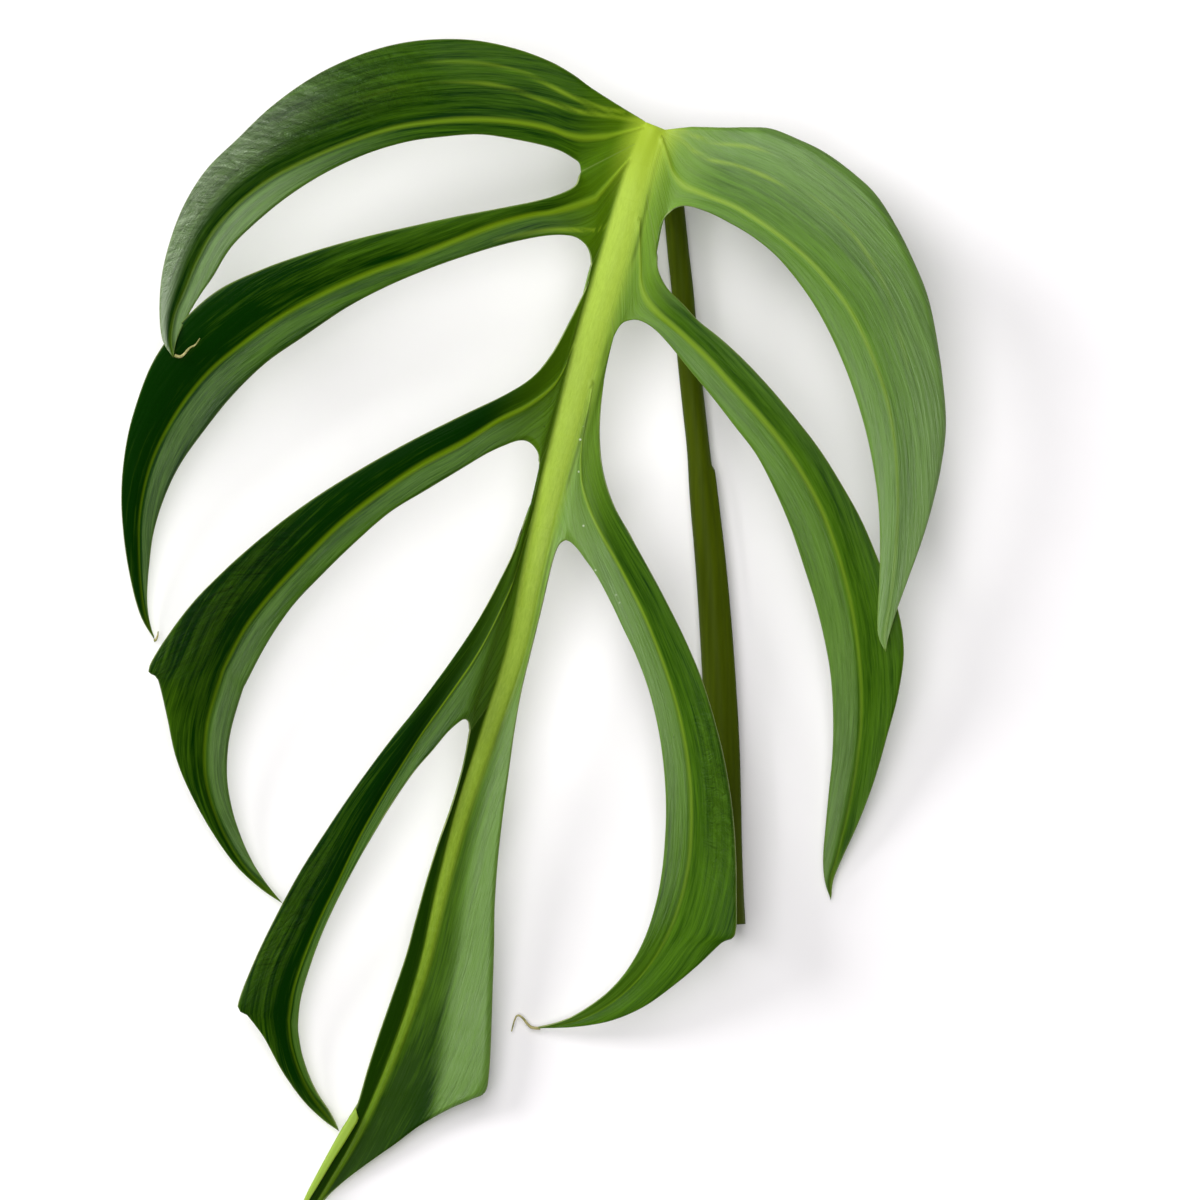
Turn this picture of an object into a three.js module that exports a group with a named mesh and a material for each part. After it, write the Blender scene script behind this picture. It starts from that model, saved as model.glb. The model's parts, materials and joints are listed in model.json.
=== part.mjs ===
// A picked leaf of a split-leaf monstera, laid flat on its back on a table.
// Units are millimetres. +Z is up from the table, the leaf's tip points to -Y, its upper face looks up.
// The blade is one grown sheet: a midrib, four lobes on its left, three on its right and the end lobe.
// The petiole lies under the blade, and its knee turns up to the blade's base.
import * as THREE from 'three';

// Driving dimensions.
const SHEET = 0.9;             // thickness of the blade between its veins
const VEIN_DEPTH = 1.9;        // how deep a lobe's main vein stands out below, sheet included
const RIB_DEPTH_BASE = 4.2;    // depth of the midrib at the blade's base
const RIB_DEPTH_TIP = 1.0;     // and at its tip
const ROW_STEP = 8.0;          // spacing of the rows along a lobe
const WIDEST_FOLD = 16;        // a strip wider than this rises no further
const WEB_ROWS = 3;            // rows between the midrib and the foot of a split
const GAP = 0.3;               // clearance between the petiole's end and the blade
const ROW_CENTRE = [30.6, 127.45, 0];    // moves the blade base so that the row box is centred

// The midrib's centre line, from the blade's base to its tip.
const MIDRIB = [
  [0, 0.5, 25.6], [-4, -10, 26.4], [-9.5, -30, 27.4], [-15.5, -50, 27.6], [-20.7, -70, 27.0],
  [-26, -90, 25.8], [-30.5, -110, 24.2], [-34.7, -130, 22.0], [-41.3, -150, 19.4], [-48, -170, 16.4],
  [-53.3, -190, 13.2], [-58, -210, 10.0], [-64.8, -230, 7.0], [-73.5, -250, 4.0], [-81.5, -264, 2.2],
  [-89.5, -276.5, 1.1],
];
// Half the midrib's width at equal steps from base to tip.
const RIB_HALF_WIDTH = [2.6, 3.7, 3.7, 3.3, 2.8, 2.4, 2.0, 1.6, 1.3, 1.0, 0.7, 0.4];

// The feet of the splits: how far down the midrib each split's border starts, and the foot itself.
const LEFT_SPLITS = [
  { from: 6, foot: [-18.5, -11, 30.6] },
  { from: 31, foot: [-15.7, -34, 28.9] },
  { from: 82, foot: [-28.7, -83.5, 27.6] },
  { from: 150, foot: [-46, -150, 20.6] },
];
const RIGHT_SPLITS = [
  { from: 17, foot: [0.4, -31, 28.6] },
  { from: 49, foot: [-10.3, -52, 28.6] },
  { from: 100, foot: [-22.3, -102.6, 26.0] },
];

// Each lobe: where its vein leaves the midrib, the heights of its vein at equal steps out to its tip,
// how steeply each margin rises from the vein, how far each strip bulges, and stations across it.
// A station is one margin, the vein and the other margin, in plan. The first one ends on the splits' feet.
const LEFT_LOBES = [
  {
    leaves: 1.5, heights: [27.4, 29.8, 30.8, 30.4, 29.2, 27.4, 25.6, 24.4],
    rise: [0.22, 0.02], camber: [0.1, 0.05], columns: [3, 2],
    stations: [
      [-10, 6, -12, -2.3, null, null], [-16, 9.8, -17.5, -2.6, -18.9, -9],
      [-21, 13.3, -22, -1.9, -20.2, -7.8],
      [-27, 16.5, -27, -0.2, -24.5, -5.5], [-36, 19.6, -35, 1.2, -32, -3.6],
      [-47, 21.5, -45, 1.8, -43, -1.9],
      [-60, 21.1, -56, 1.1, -53, -2.5], [-72, 18.2, -66, -0.6, -62, -3.8],
      [-84, 12.8, -77, -4.2, -72, -6.8],
      [-95, 5.2, -87, -8.4, -82, -11.4], [-104, -3.2, -96, -13, -91, -17],
      [-111.5, -10.5, -104, -19.2, -99, -23.4], [-117, -19, -110, -26, -105.5, -29.8],
      [-120.6, -28, -114, -33, -110, -37], [-122.8, -37, -117, -40, -113.5, -42],
      [-123.4, -46, -119.8, -47, -117, -48], [-122.6, -53, -120.6, -52.8, -119.2, -53],
    ],
    tip: [-120, -57.2],
  },
  {
    leaves: 10, heights: [29.0, 30.4, 29.8, 27.2, 23.4, 18.2, 12.2, 6.4, 1.6],
    rise: [0.4, -0.02], camber: [0.05, 0.05], columns: [3, 3],
    stations: [
      [null, null, -14.6, -17.7, null, null], [-19.3, -14, -18.4, -19.1, -15.9, -31.8],
      [-21, -15.5, -22.4, -20.3, -17.2, -29.2], [-24.5, -17, -26.8, -21.4, -20.5, -27.1],
      [-30, -18.6, -32, -22.1, -27, -27], [-39, -20.4, -40, -24.4, -37, -29],
      [-50, -22.5, -50, -28.3, -48, -32.3],
      [-62, -25.1, -60, -32.3, -57.5, -35.7], [-74, -27.9, -70, -35.8, -67, -39.7],
      [-86, -31.3, -81, -40.5, -77, -44.9], [-98, -35.5, -92, -46.2, -87.5, -51.9],
      [-109, -40.7, -102, -53, -97, -58.4], [-118, -48.5, -111, -60.3, -105.5, -66.5],
      [-125, -57.8, -118, -68.5, -112.5, -75], [-129.5, -68.5, -123.5, -77.5, -118.5, -83.2],
      [-132.3, -79, -127, -86, -122.6, -91.3], [-133.6, -91, -129.1, -96, -125.6, -100.4],
      [-133, -103, -129.4, -106, -126.9, -109], [-131.2, -114, -128.9, -115, -127.5, -117],
      [-128.9, -122, -127.8, -122, -127, -122.5],
    ],
    tip: [-125.6, -127.7],
  },
  {
    leaves: 58, heights: [28.0, 29.4, 28.8, 26.0, 21.6, 16.2, 10.8, 5.8, 1.6],
    rise: [0.4, -0.03], camber: [0.06, 0.05], columns: [3, 3],
    stations: [
      [null, null, -21.4, -56.5, null, null], [-16.4, -38, -22.3, -59.3, -28.9, -81.5],
      [-18.4, -42.7, -23.6, -61.8, -30, -79.5], [-21.5, -49, -25, -64, -31.8, -78.1],
      [-25.5, -56.3, -28, -66.8, -34, -77.9], [-30.5, -62.2, -32.5, -69.8, -37, -78.9],
      [-38, -66.9, -39, -73, -42, -81.2], [-49, -72.2, -48, -78.6, -49, -85.4],
      [-61, -78.2, -58, -83.9, -57.5, -90.5], [-73, -84.9, -68, -90.5, -66, -95.7],
      [-85, -92.4, -78, -98.2, -74.5, -103], [-96, -100.5, -87, -106.8, -83, -111.2],
      [-107, -110, -95.5, -115.8, -90.5, -119.1], [-117, -120.5, -102, -124, -96.8, -128.2],
      [-126, -134, -107, -133, -101.8, -137.5], [-124, -137.4, -108.8, -137.5, -103.4, -141],
      [-122, -146.5, -112, -148.5, -106.4, -151.5], [-120, -156.5, -112.8, -158.5, -107.2, -161],
      [-116.8, -165, -111.5, -167.5, -106.2, -169], [-111.5, -175, -108, -176.5, -104, -176.5],
      [-105.3, -184, -103.3, -184.3, -101, -183.3], [-99, -190, -98.3, -189.6, -97.5, -188.8],
    ],
    tip: [-93.5, -193.8],
  },
  {
    leaves: 101, heights: [25.4, 25.6, 24.0, 21.0, 17.2, 13.0, 8.8, 4.8, 1.5],
    rise: [0.38, 0.02], camber: [0.05, 0.04], columns: [3, 3],
    stations: [
      [null, null, -35.5, -113.5, null, null], [-29.5, -88.5, -38.5, -120, -46.3, -148],
      [-31.5, -95.6, -42, -127, -47.4, -147.2], [-34.5, -104, -45.5, -132.9, -49, -148],
      [-38.5, -112.5, -49, -138, -52, -150.7], [-44, -122.5, -53, -143.6, -55.5, -154.9],
      [-51, -133, -58, -150.6, -60, -160], [-58.5, -143.1, -63, -158.4, -64.8, -166.7],
      [-66.5, -153.2, -68.5, -167.4, -69.8, -174.7], [-74.5, -164, -74, -177.2, -75, -184],
      [-82, -175, -79.3, -188.2, -79.9, -193.3], [-89, -186, -84, -197.8, -84, -202.5],
      [-95.3, -197.7, -87.8, -207, -87, -211], [-100.8, -209.3, -90.3, -214.5, -88.9, -218],
      [-104.4, -219.3, -91.6, -221.5, -89.5, -224], [-102.2, -221.4, -91.7, -224, -89.3, -227],
      [-98, -227.2, -91.2, -229, -88.6, -231.3], [-93.5, -235.7, -89.4, -235.2, -87, -236.8],
      [-88.5, -243, -86.4, -241.6, -84.6, -241.8], [-83.5, -248, -82.6, -246.8, -81.6, -246.4],
    ],
    tip: [-79.3, -251],
  },
];
const RIGHT_LOBES = [
  {
    leaves: 2, heights: [25.8, 27.8, 29.0, 29.2, 28.2, 26.2, 23.6, 21.4, 20.0],
    rise: [-0.1, 0.04], camber: [0.03, 0.03], columns: [3, 3],
    stations: [
      [9, 0.3, 4.2, -11, null, null], [13, 0.2, 5.6, -13, 0.7, -27], [18, 0.1, 7.6, -14.7, 1.6, -23.3],
      [23.5, 0.2, 10.3, -15.9, 3.6, -20.6], [29, -0.2, 14, -17.5, 7.4, -19.4],
      [35.5, -2.8, 20, -20, 12.5, -20.8],
      [42, -6, 26, -23.7, 18, -23.5], [49, -11.1, 32, -28, 24, -27.1], [55, -16.8, 38, -33.1, 29.8, -31.8],
      [60.2, -25, 43.5, -39.1, 35, -37.8], [64.4, -33.5, 48.2, -45.3, 39.6, -44.4],
      [67.8, -42, 52, -52.5, 43.5, -51.5], [70, -52, 55.2, -60.2, 47, -59.3],
      [71.6, -63, 57.8, -68.5, 50, -67.5],
      [72.4, -74, 59.5, -78, 52.5, -76], [71.3, -84, 60.2, -87, 54.4, -85],
      [69.2, -93.5, 60.4, -95.5, 55.6, -94],
      [66.6, -102.5, 60, -104, 56, -103], [63.2, -112, 59.3, -112.5, 55.9, -112],
      [60.5, -119.5, 58.2, -120.5, 55.5, -120], [58.3, -126.5, 57.2, -126.5, 55.6, -126.3],
    ],
    tip: [57.5, -130.5],
  },
  {
    leaves: 24, heights: [26.8, 26.4, 25.6, 23.2, 19.4, 14.6, 9.6, 5.2, 1.6],
    rise: [0.36, 0.0], camber: [0.03, 0.04], columns: [3, 3],
    stations: [
      [null, null, -3.7, -38, null, null], [0.5, -34.5, -3, -41, -9, -49.6],
      [1.5, -37.5, -1.3, -44, -7.3, -48.2],
      [3.4, -40.5, 1.5, -47, -4.2, -47.9], [6.5, -43.6, 5, -50, -0.5, -49.9],
      [10.5, -48, 9, -53.6, 3.4, -53.9],
      [16, -52.4, 13.8, -58.2, 8.5, -60.2], [22, -57.9, 19, -64, 14, -66.8],
      [28.5, -64.8, 25, -70.6, 19.8, -74.3],
      [35, -72.5, 31, -77.8, 25.2, -81.4], [41, -80.3, 36.6, -86, 29.8, -90.2],
      [46.5, -89, 41.7, -95.5, 33.8, -99.5],
      [51.5, -98, 45.6, -106, 37.2, -109.5], [56, -108.5, 48.4, -116, 40, -118.2],
      [60.3, -119, 50.3, -126, 42.2, -126.8], [62.1, -130, 51.4, -136, 43.9, -136],
      [60.8, -141, 51.7, -146, 44.6, -146], [58, -152, 51, -156, 44.5, -156],
      [54.9, -163, 49.6, -165, 43.7, -165],
      [51, -173.5, 47.8, -173.5, 42.9, -174], [47.2, -182, 45.8, -182, 42.3, -182],
      [44.8, -188, 44.2, -188, 42.7, -188],
    ],
    tip: [44.3, -193],
  },
  {
    leaves: 66, heights: [26.4, 25.6, 24.6, 22.4, 19.8, 17.0, 14.0, 8.4, 1.6],
    rise: [0.36, 0.02], camber: [0.03, 0.03], columns: [3, 3],
    stations: [
      [null, null, -18.3, -78, null, null], [-11.2, -55.5, -18.6, -82, -21, -103.2],
      [-12.5, -61.5, -18.5, -87, -19.2, -105], [-13.6, -69, -17.8, -91, -17.3, -107.6],
      [-14, -77, -16, -96, -15.2, -110.5], [-13.3, -85, -13.2, -101.6, -13, -114.2],
      [-10.8, -93.2, -9.8, -107.5, -10.7, -118.8], [-6.3, -101.5, -5.8, -115, -7.8, -125],
      [-1.3, -110.5, -2.2, -122.5, -4.8, -131.3], [3.2, -119, 1.2, -131, -2, -138.7],
      [7.5, -127.7, 4, -139, 0, -146],
      [11.5, -137.2, 6.3, -147.5, 1.4, -153.3], [14.8, -147.8, 8, -156.5, 2.3, -161],
      [17.3, -158, 8.9, -165.5, 2.7, -168.8], [19.1, -169, 9, -174.5, 2.5, -176.5],
      [20, -180, 8.4, -183, 1.8, -184.5], [20.2, -190.5, 6.8, -191, 0.4, -192.5],
      [19.9, -200.8, 4.2, -198.8, -1.9, -200.3], [16.5, -203.2, 1, -205.3, -4.6, -206.3],
      [10.5, -209, -3, -211, -8, -211.6], [4, -214.5, -7.5, -215.8, -12, -216],
      [-3, -219.5, -12.6, -219.7, -16.5, -219.5], [-11, -223, -18, -222.5, -21, -222.3],
      [-20, -224.7, -23.5, -224.2, -25.2, -224],
    ],
    tip: [-30, -225.2],
  },
];
// The end lobe's halves: distance down the midrib, and the margin point across from it.
const END_LOBE = {
  left: {
    rise: 0.34,
    camber: 0.05,
    stations: [
      [158, -46.9, -154.5], [165, -48.3, -161], [174, -50.8, -169.5], [184, -53.9, -178],
      [195, -57, -187.5],
      [205, -59.8, -197.5], [215, -62.4, -207], [226, -66, -217.5], [236, -69.3, -227], [247, -72.2, -236],
      [257, -74.9, -245], [265, -79, -252.5], [273, -84, -261.5], [281, -88, -269.5],
    ],
  },
  right: {
    rise: 0.05,
    camber: -0.04,
    stations: [
      [102.5, -23.6, -103.3], [105, -24.7, -105], [109, -26, -109], [115, -27.2, -114], [124, -28.8, -121],
      [134, -31.2, -130.5], [144, -33.4, -140], [155, -35.2, -150.5], [165, -36.5, -160], [177, -38, -171],
      [189, -39.3, -182.5], [200, -40.1, -194], [211, -40.3, -205], [222, -40.7, -216.5],
      [231, -41.1, -227.5],
      [239, -41.6, -236], [245, -42.6, -241], [250, -46, -242.8], [255, -52, -245.5], [261, -59, -249.5],
      [266, -65, -254], [271, -71.5, -258.6], [277, -78, -263.5], [283, -84, -269],
    ],
  },
};

// The petiole's centre line with its radius, from its cut end to the knee under the blade's base.
const PETIOLE = [
  [18.2, -199, 4.6, 4.6], [17.8, -190, 4.55, 4.5], [17.2, -170, 4.3, 4.25], [16.5, -150, 4.1, 4.05],
  [15.4, -130, 3.9, 3.85], [13.9, -110, 3.65, 3.6], [12.1, -92, 3.35, 3.3], [11, -80, 2.95, 2.9],
  [9.9, -70, 2.9, 2.85], [8.3, -55, 2.85, 2.8], [7, -40, 2.8, 2.75], [5.9, -30, 2.85, 2.7],
  [5.0, -21, 3.5, 2.65], [4.2, -13.5, 5.6, 2.65], [3.2, -8, 9.6, 2.75], [2.0, -5.1, 14.2, 2.9],
  [0.8, -4.5, 18.2, 2.9],
];
const PETIOLE_SIDES = 16;

const lerp = (a, b, t) => a.map((value, i) => value + (b[i] - value) * t);
const distance = (a, b) => Math.hypot(a[0] - b[0], a[1] - b[1]);

// A smooth curve through the given points, at t from 0 to points.length - 1.
function through(points, t) {
  const i = Math.min(Math.floor(t), points.length - 2);
  const f = t - i;
  const p1 = points[i];
  const p2 = points[i + 1];
  const p0 = points[i - 1] ?? p1.map((value, k) => 2 * value - p2[k]);
  const p3 = points[i + 2] ?? p2.map((value, k) => 2 * value - p1[k]);
  return p1.map((value, k) => {
    const a = 2 * value;
    const b = p2[k] - p0[k];
    const c = 2 * p0[k] - 5 * value + 4 * p2[k] - p3[k];
    const d = -p0[k] + 3 * value - 3 * p2[k] + p3[k];
    return 0.5 * (a + b * f + c * f * f + d * f * f * f);
  });
}

// The midrib measured along its length.
const RIB_SAMPLES = 600;
const ribTable = [];
for (let i = 0; i <= RIB_SAMPLES; i += 1) {
  const point = through(MIDRIB, ((MIDRIB.length - 1) * i) / RIB_SAMPLES);
  const before = ribTable[i - 1];
  ribTable.push({ point, along: before ? before.along + distance(before.point, point) : 0 });
}
const RIB_LENGTH = ribTable[RIB_SAMPLES].along;

function ribAt(along) {
  const wanted = Math.min(Math.max(along, 0), RIB_LENGTH);
  let i = 0;
  while (i < RIB_SAMPLES - 1 && ribTable[i + 1].along < wanted) {
    i += 1;
  }
  const a = ribTable[i];
  const b = ribTable[i + 1];
  return lerp(a.point, b.point, (wanted - a.along) / (b.along - a.along));
}

// A point on the midrib's left (side -1) or right (side 1) edge.
function ribEdge(side, along) {
  const here = ribAt(along);
  const ahead = ribAt(along + 1);
  const back = ribAt(along - 1);
  const run = distance(back, ahead);
  const t = Math.min(along / RIB_LENGTH, 1) * (RIB_HALF_WIDTH.length - 1);
  const half = through(RIB_HALF_WIDTH.map((value) => [value]), t)[0];
  const across = [(-(ahead[1] - back[1]) / run) * half * side, ((ahead[0] - back[0]) / run) * half * side];
  return [here[0] + across[0], here[1] + across[1], here[2] + 0.08 * half];
}

// A sheet of welded points, each with how deep the blade is below it.
const points = [];
const depths = [];
const faces = [];
const known = new Map();

function place(point, depth) {
  const key = point.map((value) => Math.round(value * 500)).join(' ');
  if (!known.has(key)) {
    known.set(key, points.length);
    points.push(point);
    depths.push(depth);
  }
  const id = known.get(key);
  depths[id] = Math.max(depths[id], depth);
  return id;
}

function triangle(a, b, c) {
  if (a !== b && b !== c && c !== a) {
    faces.push([a, b, c]);
  }
}

// Two rows of the same length, joined with triangles that face up.
function joinRows(rowA, rowB, side) {
  for (let k = 0; k + 1 < rowA.length; k += 1) {
    const [a, b, c, d] = [rowA[k], rowA[k + 1], rowB[k + 1], rowB[k]];
    if (side > 0) {
      triangle(a, b, c);
      triangle(a, c, d);
    } else {
      triangle(a, c, b);
      triangle(a, d, c);
    }
  }
}

// Two lines of points with different spacing, each point being [id, along].
function zip(left, right) {
  let i = 0;
  let j = 0;
  while (i + 1 < left.length || j + 1 < right.length) {
    const moveLeft = j + 1 >= right.length
      || (i + 1 < left.length && left[i + 1][1] + left[i][1] < right[j + 1][1] + right[j][1]);
    if (moveLeft) {
      triangle(left[i][0], left[i + 1][0], right[j][0]);
      i += 1;
    } else {
      triangle(left[i][0], right[j + 1][0], right[j][0]);
      j += 1;
    }
  }
}

// The width over which a strip folds up: from its vein to its margin, no further than to the midrib's edge.
function foldWidth(margin, vein) {
  const toRib = Math.min(...ribTable.map((sample) => distance(sample.point, margin))) - RIB_HALF_WIDTH[2];
  return Math.max(0, Math.min(distance(margin, vein), toRib, WIDEST_FOLD));
}

// How much a strip bulges between its vein (0) and its margin (1), for a strip that folds over this width.
function bulge(fraction, width, camber) {
  return width * camber * Math.sin(Math.PI * fraction);
}

const TIP = place(ribAt(RIB_LENGTH), SHEET);
const edges = { '-1': [], 1: [] };

function buildLobe(lobe, side, before, after) {
  const steps = lobe.heights.length - 1;
  const rows = [];
  const root = [before.from, lobe.leaves, after.from];
  const last = lobe.stations.length;
  const veinLine = [...lobe.stations.map((s) => [s[2], s[3]]), lobe.tip];
  const runs = [0];
  for (let i = 1; i <= last; i += 1) {
    runs.push(runs[i - 1] + distance(veinLine[i - 1], veinLine[i]));
  }
  const cross = lobe.stations.map((s, i) => {
    const z = through(lobe.heights.map((value) => [value]), (runs[i] / runs[last]) * steps)[0];
    const vein = [s[2], s[3], z];
    const margin = (x, y, split, rise) => {
      if (x === null) {
        return split.foot;
      }
      return [x, y, z + rise * foldWidth([x, y], vein)];
    };
    return [
      margin(s[0], s[1], before, lobe.rise[0]),
      vein,
      margin(s[4], s[5], after, lobe.rise[1]),
    ];
  });
  const tip = [lobe.tip[0], lobe.tip[1], lobe.heights[steps]];
  cross.push([tip, tip, tip]);
  const curves = [0, 1, 2].map((k) => cross.map((c) => c[k]));
  const columns = lobe.columns;
  const total = columns[0] + columns[1];

  // A point on the row at t, where t below 0 is the web between the midrib and the feet.
  const rowPoint = (t, k) => {
    const onFirst = k <= columns[0];
    const fraction = onFirst ? (columns[0] - k) / columns[0] : (k - columns[0]) / columns[1];
    const outer = onFirst ? 0 : 2;
    const at = Math.max(t, 0);
    const margin = through(curves[outer], at);
    const vein = through(curves[1], at);
    const point = lerp(vein, margin, fraction);
    point[2] += bulge(fraction, foldWidth(margin, vein), lobe.camber[onFirst ? 0 : 1]);
    if (t >= 0) {
      return point;
    }
    const along = root[1] + (root[outer] - root[1]) * fraction;
    return lerp(point, ribEdge(side, along), -t);
  };
  const depthAt = (t, k) => {
    const fade = 1 - Math.max(t, 0) / cross.length;
    return k === columns[0] ? SHEET + (VEIN_DEPTH - SHEET) * fade : SHEET;
  };
  const addRow = (t) => {
    const row = [];
    for (let k = 0; k <= total; k += 1) {
      row.push(place(rowPoint(t, k), depthAt(t, k)));
    }
    rows.push(row);
  };
  for (let i = 0; i < WEB_ROWS; i += 1) {
    addRow(-1 + i / WEB_ROWS);
  }
  for (let i = 0; i + 1 < cross.length; i += 1) {
    const run = Math.max(...curves.map((curve) => distance(curve[i], curve[i + 1])));
    const count = Math.max(1, Math.round(run / ROW_STEP));
    for (let j = 0; j < count; j += 1) {
      addRow(i + j / count);
    }
  }
  rows.push(new Array(total + 1).fill(place(tip, SHEET)));
  for (let i = 0; i + 1 < rows.length; i += 1) {
    joinRows(rows[i], rows[i + 1], side);
  }
  rows[0].forEach((id, k) => {
    const fraction = k <= columns[0] ? k / columns[0] : (k - columns[0]) / columns[1];
    const along = k <= columns[0]
      ? root[0] + (root[1] - root[0]) * fraction
      : root[1] + (root[2] - root[1]) * fraction;
    if (k > 0 || edges[side].length === 0) {
      edges[side].push([id, along]);
    }
  });
}

// Half of the end lobe, between the midrib's edge and its margin.
function buildHalf(half, side, border) {
  const stations = [[border.from, ...border.foot]];
  for (const [along, x, y] of half.stations) {
    const edge = ribEdge(side, along);
    stations.push([along, x, y, edge[2] + half.rise * Math.min(distance(edge, [x, y]), WIDEST_FOLD)]);
  }
  const tip = ribAt(RIB_LENGTH);
  stations.push([RIB_LENGTH, ...tip]);
  let before = null;
  for (let i = 0; i < stations.length; i += 1) {
    const count = i + 1 < stations.length
      ? Math.max(1, Math.round((stations[i + 1][0] - stations[i][0]) / ROW_STEP))
      : 1;
    for (let j = 0; j < count; j += 1) {
      const at = through(stations, Math.min(i + j / count, stations.length - 1));
      const inner = ribEdge(side, at[0]);
      const outer = at.slice(1);
      const isTip = i + 1 === stations.length;
      const row = [];
      for (let k = 0; k <= WEB_ROWS; k += 1) {
        const fraction = k / WEB_ROWS;
        const point = lerp(inner, outer, fraction);
        if (i + j > 0) {
          point[2] += bulge(fraction, Math.min(distance(inner, outer), WIDEST_FOLD), half.camber);
        }
        row.push(isTip ? TIP : place(point, SHEET));
      }
      if (before) {
        joinRows(before, row, -side);
        edges[side].push([row[0], at[0]]);
      }
      before = row;
      if (isTip) {
        break;
      }
    }
  }
}

const base = { from: 0 };
LEFT_LOBES.forEach((lobe, i) => buildLobe(lobe, -1, LEFT_SPLITS[i - 1] ?? base, LEFT_SPLITS[i]));
buildHalf(END_LOBE.left, -1, LEFT_SPLITS[3]);
RIGHT_LOBES.forEach((lobe, i) => buildLobe(lobe, 1, RIGHT_SPLITS[i - 1] ?? base, RIGHT_SPLITS[i]));
buildHalf(END_LOBE.right, 1, RIGHT_SPLITS[2]);

// The midrib's crown, slightly raised between its two edges.
const crown = [];
const CROWN_STEPS = 46;
for (let i = 0; i <= CROWN_STEPS; i += 1) {
  const along = (RIB_LENGTH * i) / CROWN_STEPS;
  const point = ribAt(along);
  const share = i / CROWN_STEPS;
  point[2] += 0.8 * (1 - share);
  const depth = RIB_DEPTH_BASE + (RIB_DEPTH_TIP - RIB_DEPTH_BASE) * share;
  crown.push([i === CROWN_STEPS ? TIP : place(point, depth), along]);
}
zip(edges['-1'], crown);
zip(crown, edges[1]);

// The underside, set off along each point's normal, and a rim that closes the sheet.
function closeSheet() {
  const normals = points.map(() => new THREE.Vector3());
  for (const face of faces) {
    const [a, b, c] = face.map((id) => new THREE.Vector3(...points[id]));
    const normal = b.clone().sub(a).cross(c.sub(a));
    for (const id of face) {
      normals[id].add(normal);
    }
  }
  const count = points.length;
  const solid = points.map((point) => [...point]);
  points.forEach((point, id) => {
    const normal = normals[id].normalize().multiplyScalar(-depths[id]);
    solid.push([point[0] + normal.x, point[1] + normal.y, point[2] + normal.z]);
  });
  const all = [];
  const directed = new Set(faces.flatMap(([a, b, c]) => [`${a} ${b}`, `${b} ${c}`, `${c} ${a}`]));
  for (const [a, b, c] of faces) {
    all.push([a, b, c], [a + count, c + count, b + count]);
    for (const [from, to] of [[a, b], [b, c], [c, a]]) {
      if (!directed.has(`${to} ${from}`)) {
        all.push([to, from, from + count], [to, from + count, to + count]);
      }
    }
  }
  return { solid, all };
}

function meshFrom(name, corners, triangles, material) {
  const geometry = new THREE.BufferGeometry();
  const moved = corners.flatMap((point) => point.map((value, i) => value + ROW_CENTRE[i]));
  geometry.setAttribute('position', new THREE.Float32BufferAttribute(moved, 3));
  geometry.setIndex(triangles.flat());
  geometry.computeVertexNormals();
  const mesh = new THREE.Mesh(geometry, material);
  mesh.name = name;
  return mesh;
}

// A round, slightly flattened stalk along its centre line, closed at both ends.
function buildPetiole() {
  const line = PETIOLE.map((p) => [...p]);
  const underside = ribAt(5)[2] - RIB_DEPTH_BASE - GAP;
  line.push([-0.2, -4.9, underside, 2.6]);
  const rings = [];
  const steps = (line.length - 1) * 2;
  for (let i = 0; i <= steps; i += 1) {
    const t = (i / steps) * (line.length - 1);
    const [x, y, z, radius] = through(line, t);
    const ahead = through(line, Math.min(t + 0.05, line.length - 1));
    const back = through(line, Math.max(t - 0.05, 0));
    const direction = new THREE.Vector3(ahead[0] - back[0], ahead[1] - back[1], ahead[2] - back[2]);
    direction.normalize();
    if (i === steps) {
      direction.set(0, 0, 1);
    }
    const sideways = new THREE.Vector3(1, 0.1, 0);
    sideways.addScaledVector(direction, -sideways.dot(direction)).normalize();
    const up = new THREE.Vector3().crossVectors(sideways, direction).normalize();
    rings.push({ centre: new THREE.Vector3(x, y, z), sideways, up, radius });
  }
  const corners = [];
  const triangles = [];
  rings.forEach(({ centre, sideways, up, radius }) => {
    for (let k = 0; k < PETIOLE_SIDES; k += 1) {
      const angle = (2 * Math.PI * k) / PETIOLE_SIDES;
      const corner = centre.clone()
        .addScaledVector(sideways, radius * Math.cos(angle))
        .addScaledVector(up, radius * Math.sin(angle));
      corners.push([corner.x, corner.y, corner.z]);
    }
  });
  for (let i = 0; i + 1 < rings.length; i += 1) {
    for (let k = 0; k < PETIOLE_SIDES; k += 1) {
      const next = (k + 1) % PETIOLE_SIDES;
      const [a, b] = [i * PETIOLE_SIDES + k, i * PETIOLE_SIDES + next];
      const [c, d] = [b + PETIOLE_SIDES, a + PETIOLE_SIDES];
      triangles.push([a, c, b], [a, d, c]);
    }
  }
  const end = (rings.length - 1) * PETIOLE_SIDES;
  for (let k = 1; k + 1 < PETIOLE_SIDES; k += 1) {
    triangles.push([0, k, k + 1], [end, end + k + 1, end + k]);
  }
  return { corners, triangles };
}

const group = new THREE.Group();
group.name = 'monstera_leaf';
const bladeMaterial = new THREE.MeshStandardMaterial({ color: '#2f6516', roughness: 0.38, metalness: 0 });
const petioleMaterial = new THREE.MeshStandardMaterial({ color: '#4c5f14', roughness: 0.45, metalness: 0 });
const blade = closeSheet();
group.add(meshFrom('leaf_blade', blade.solid, blade.all, bladeMaterial));
const petiole = buildPetiole();
group.add(meshFrom('petiole', petiole.corners, petiole.triangles, petioleMaterial));

export default group;
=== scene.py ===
"""A picked leaf of a split-leaf monstera, lying on a pale table, seen from straight above.

The blade is one sheet grown from a midrib: four lobes on its left, three on its right and the end lobe.
Its stations are in millimetres from the blade's base, with the tip towards -Y and the upper face up.
"""
import json
import math

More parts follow.
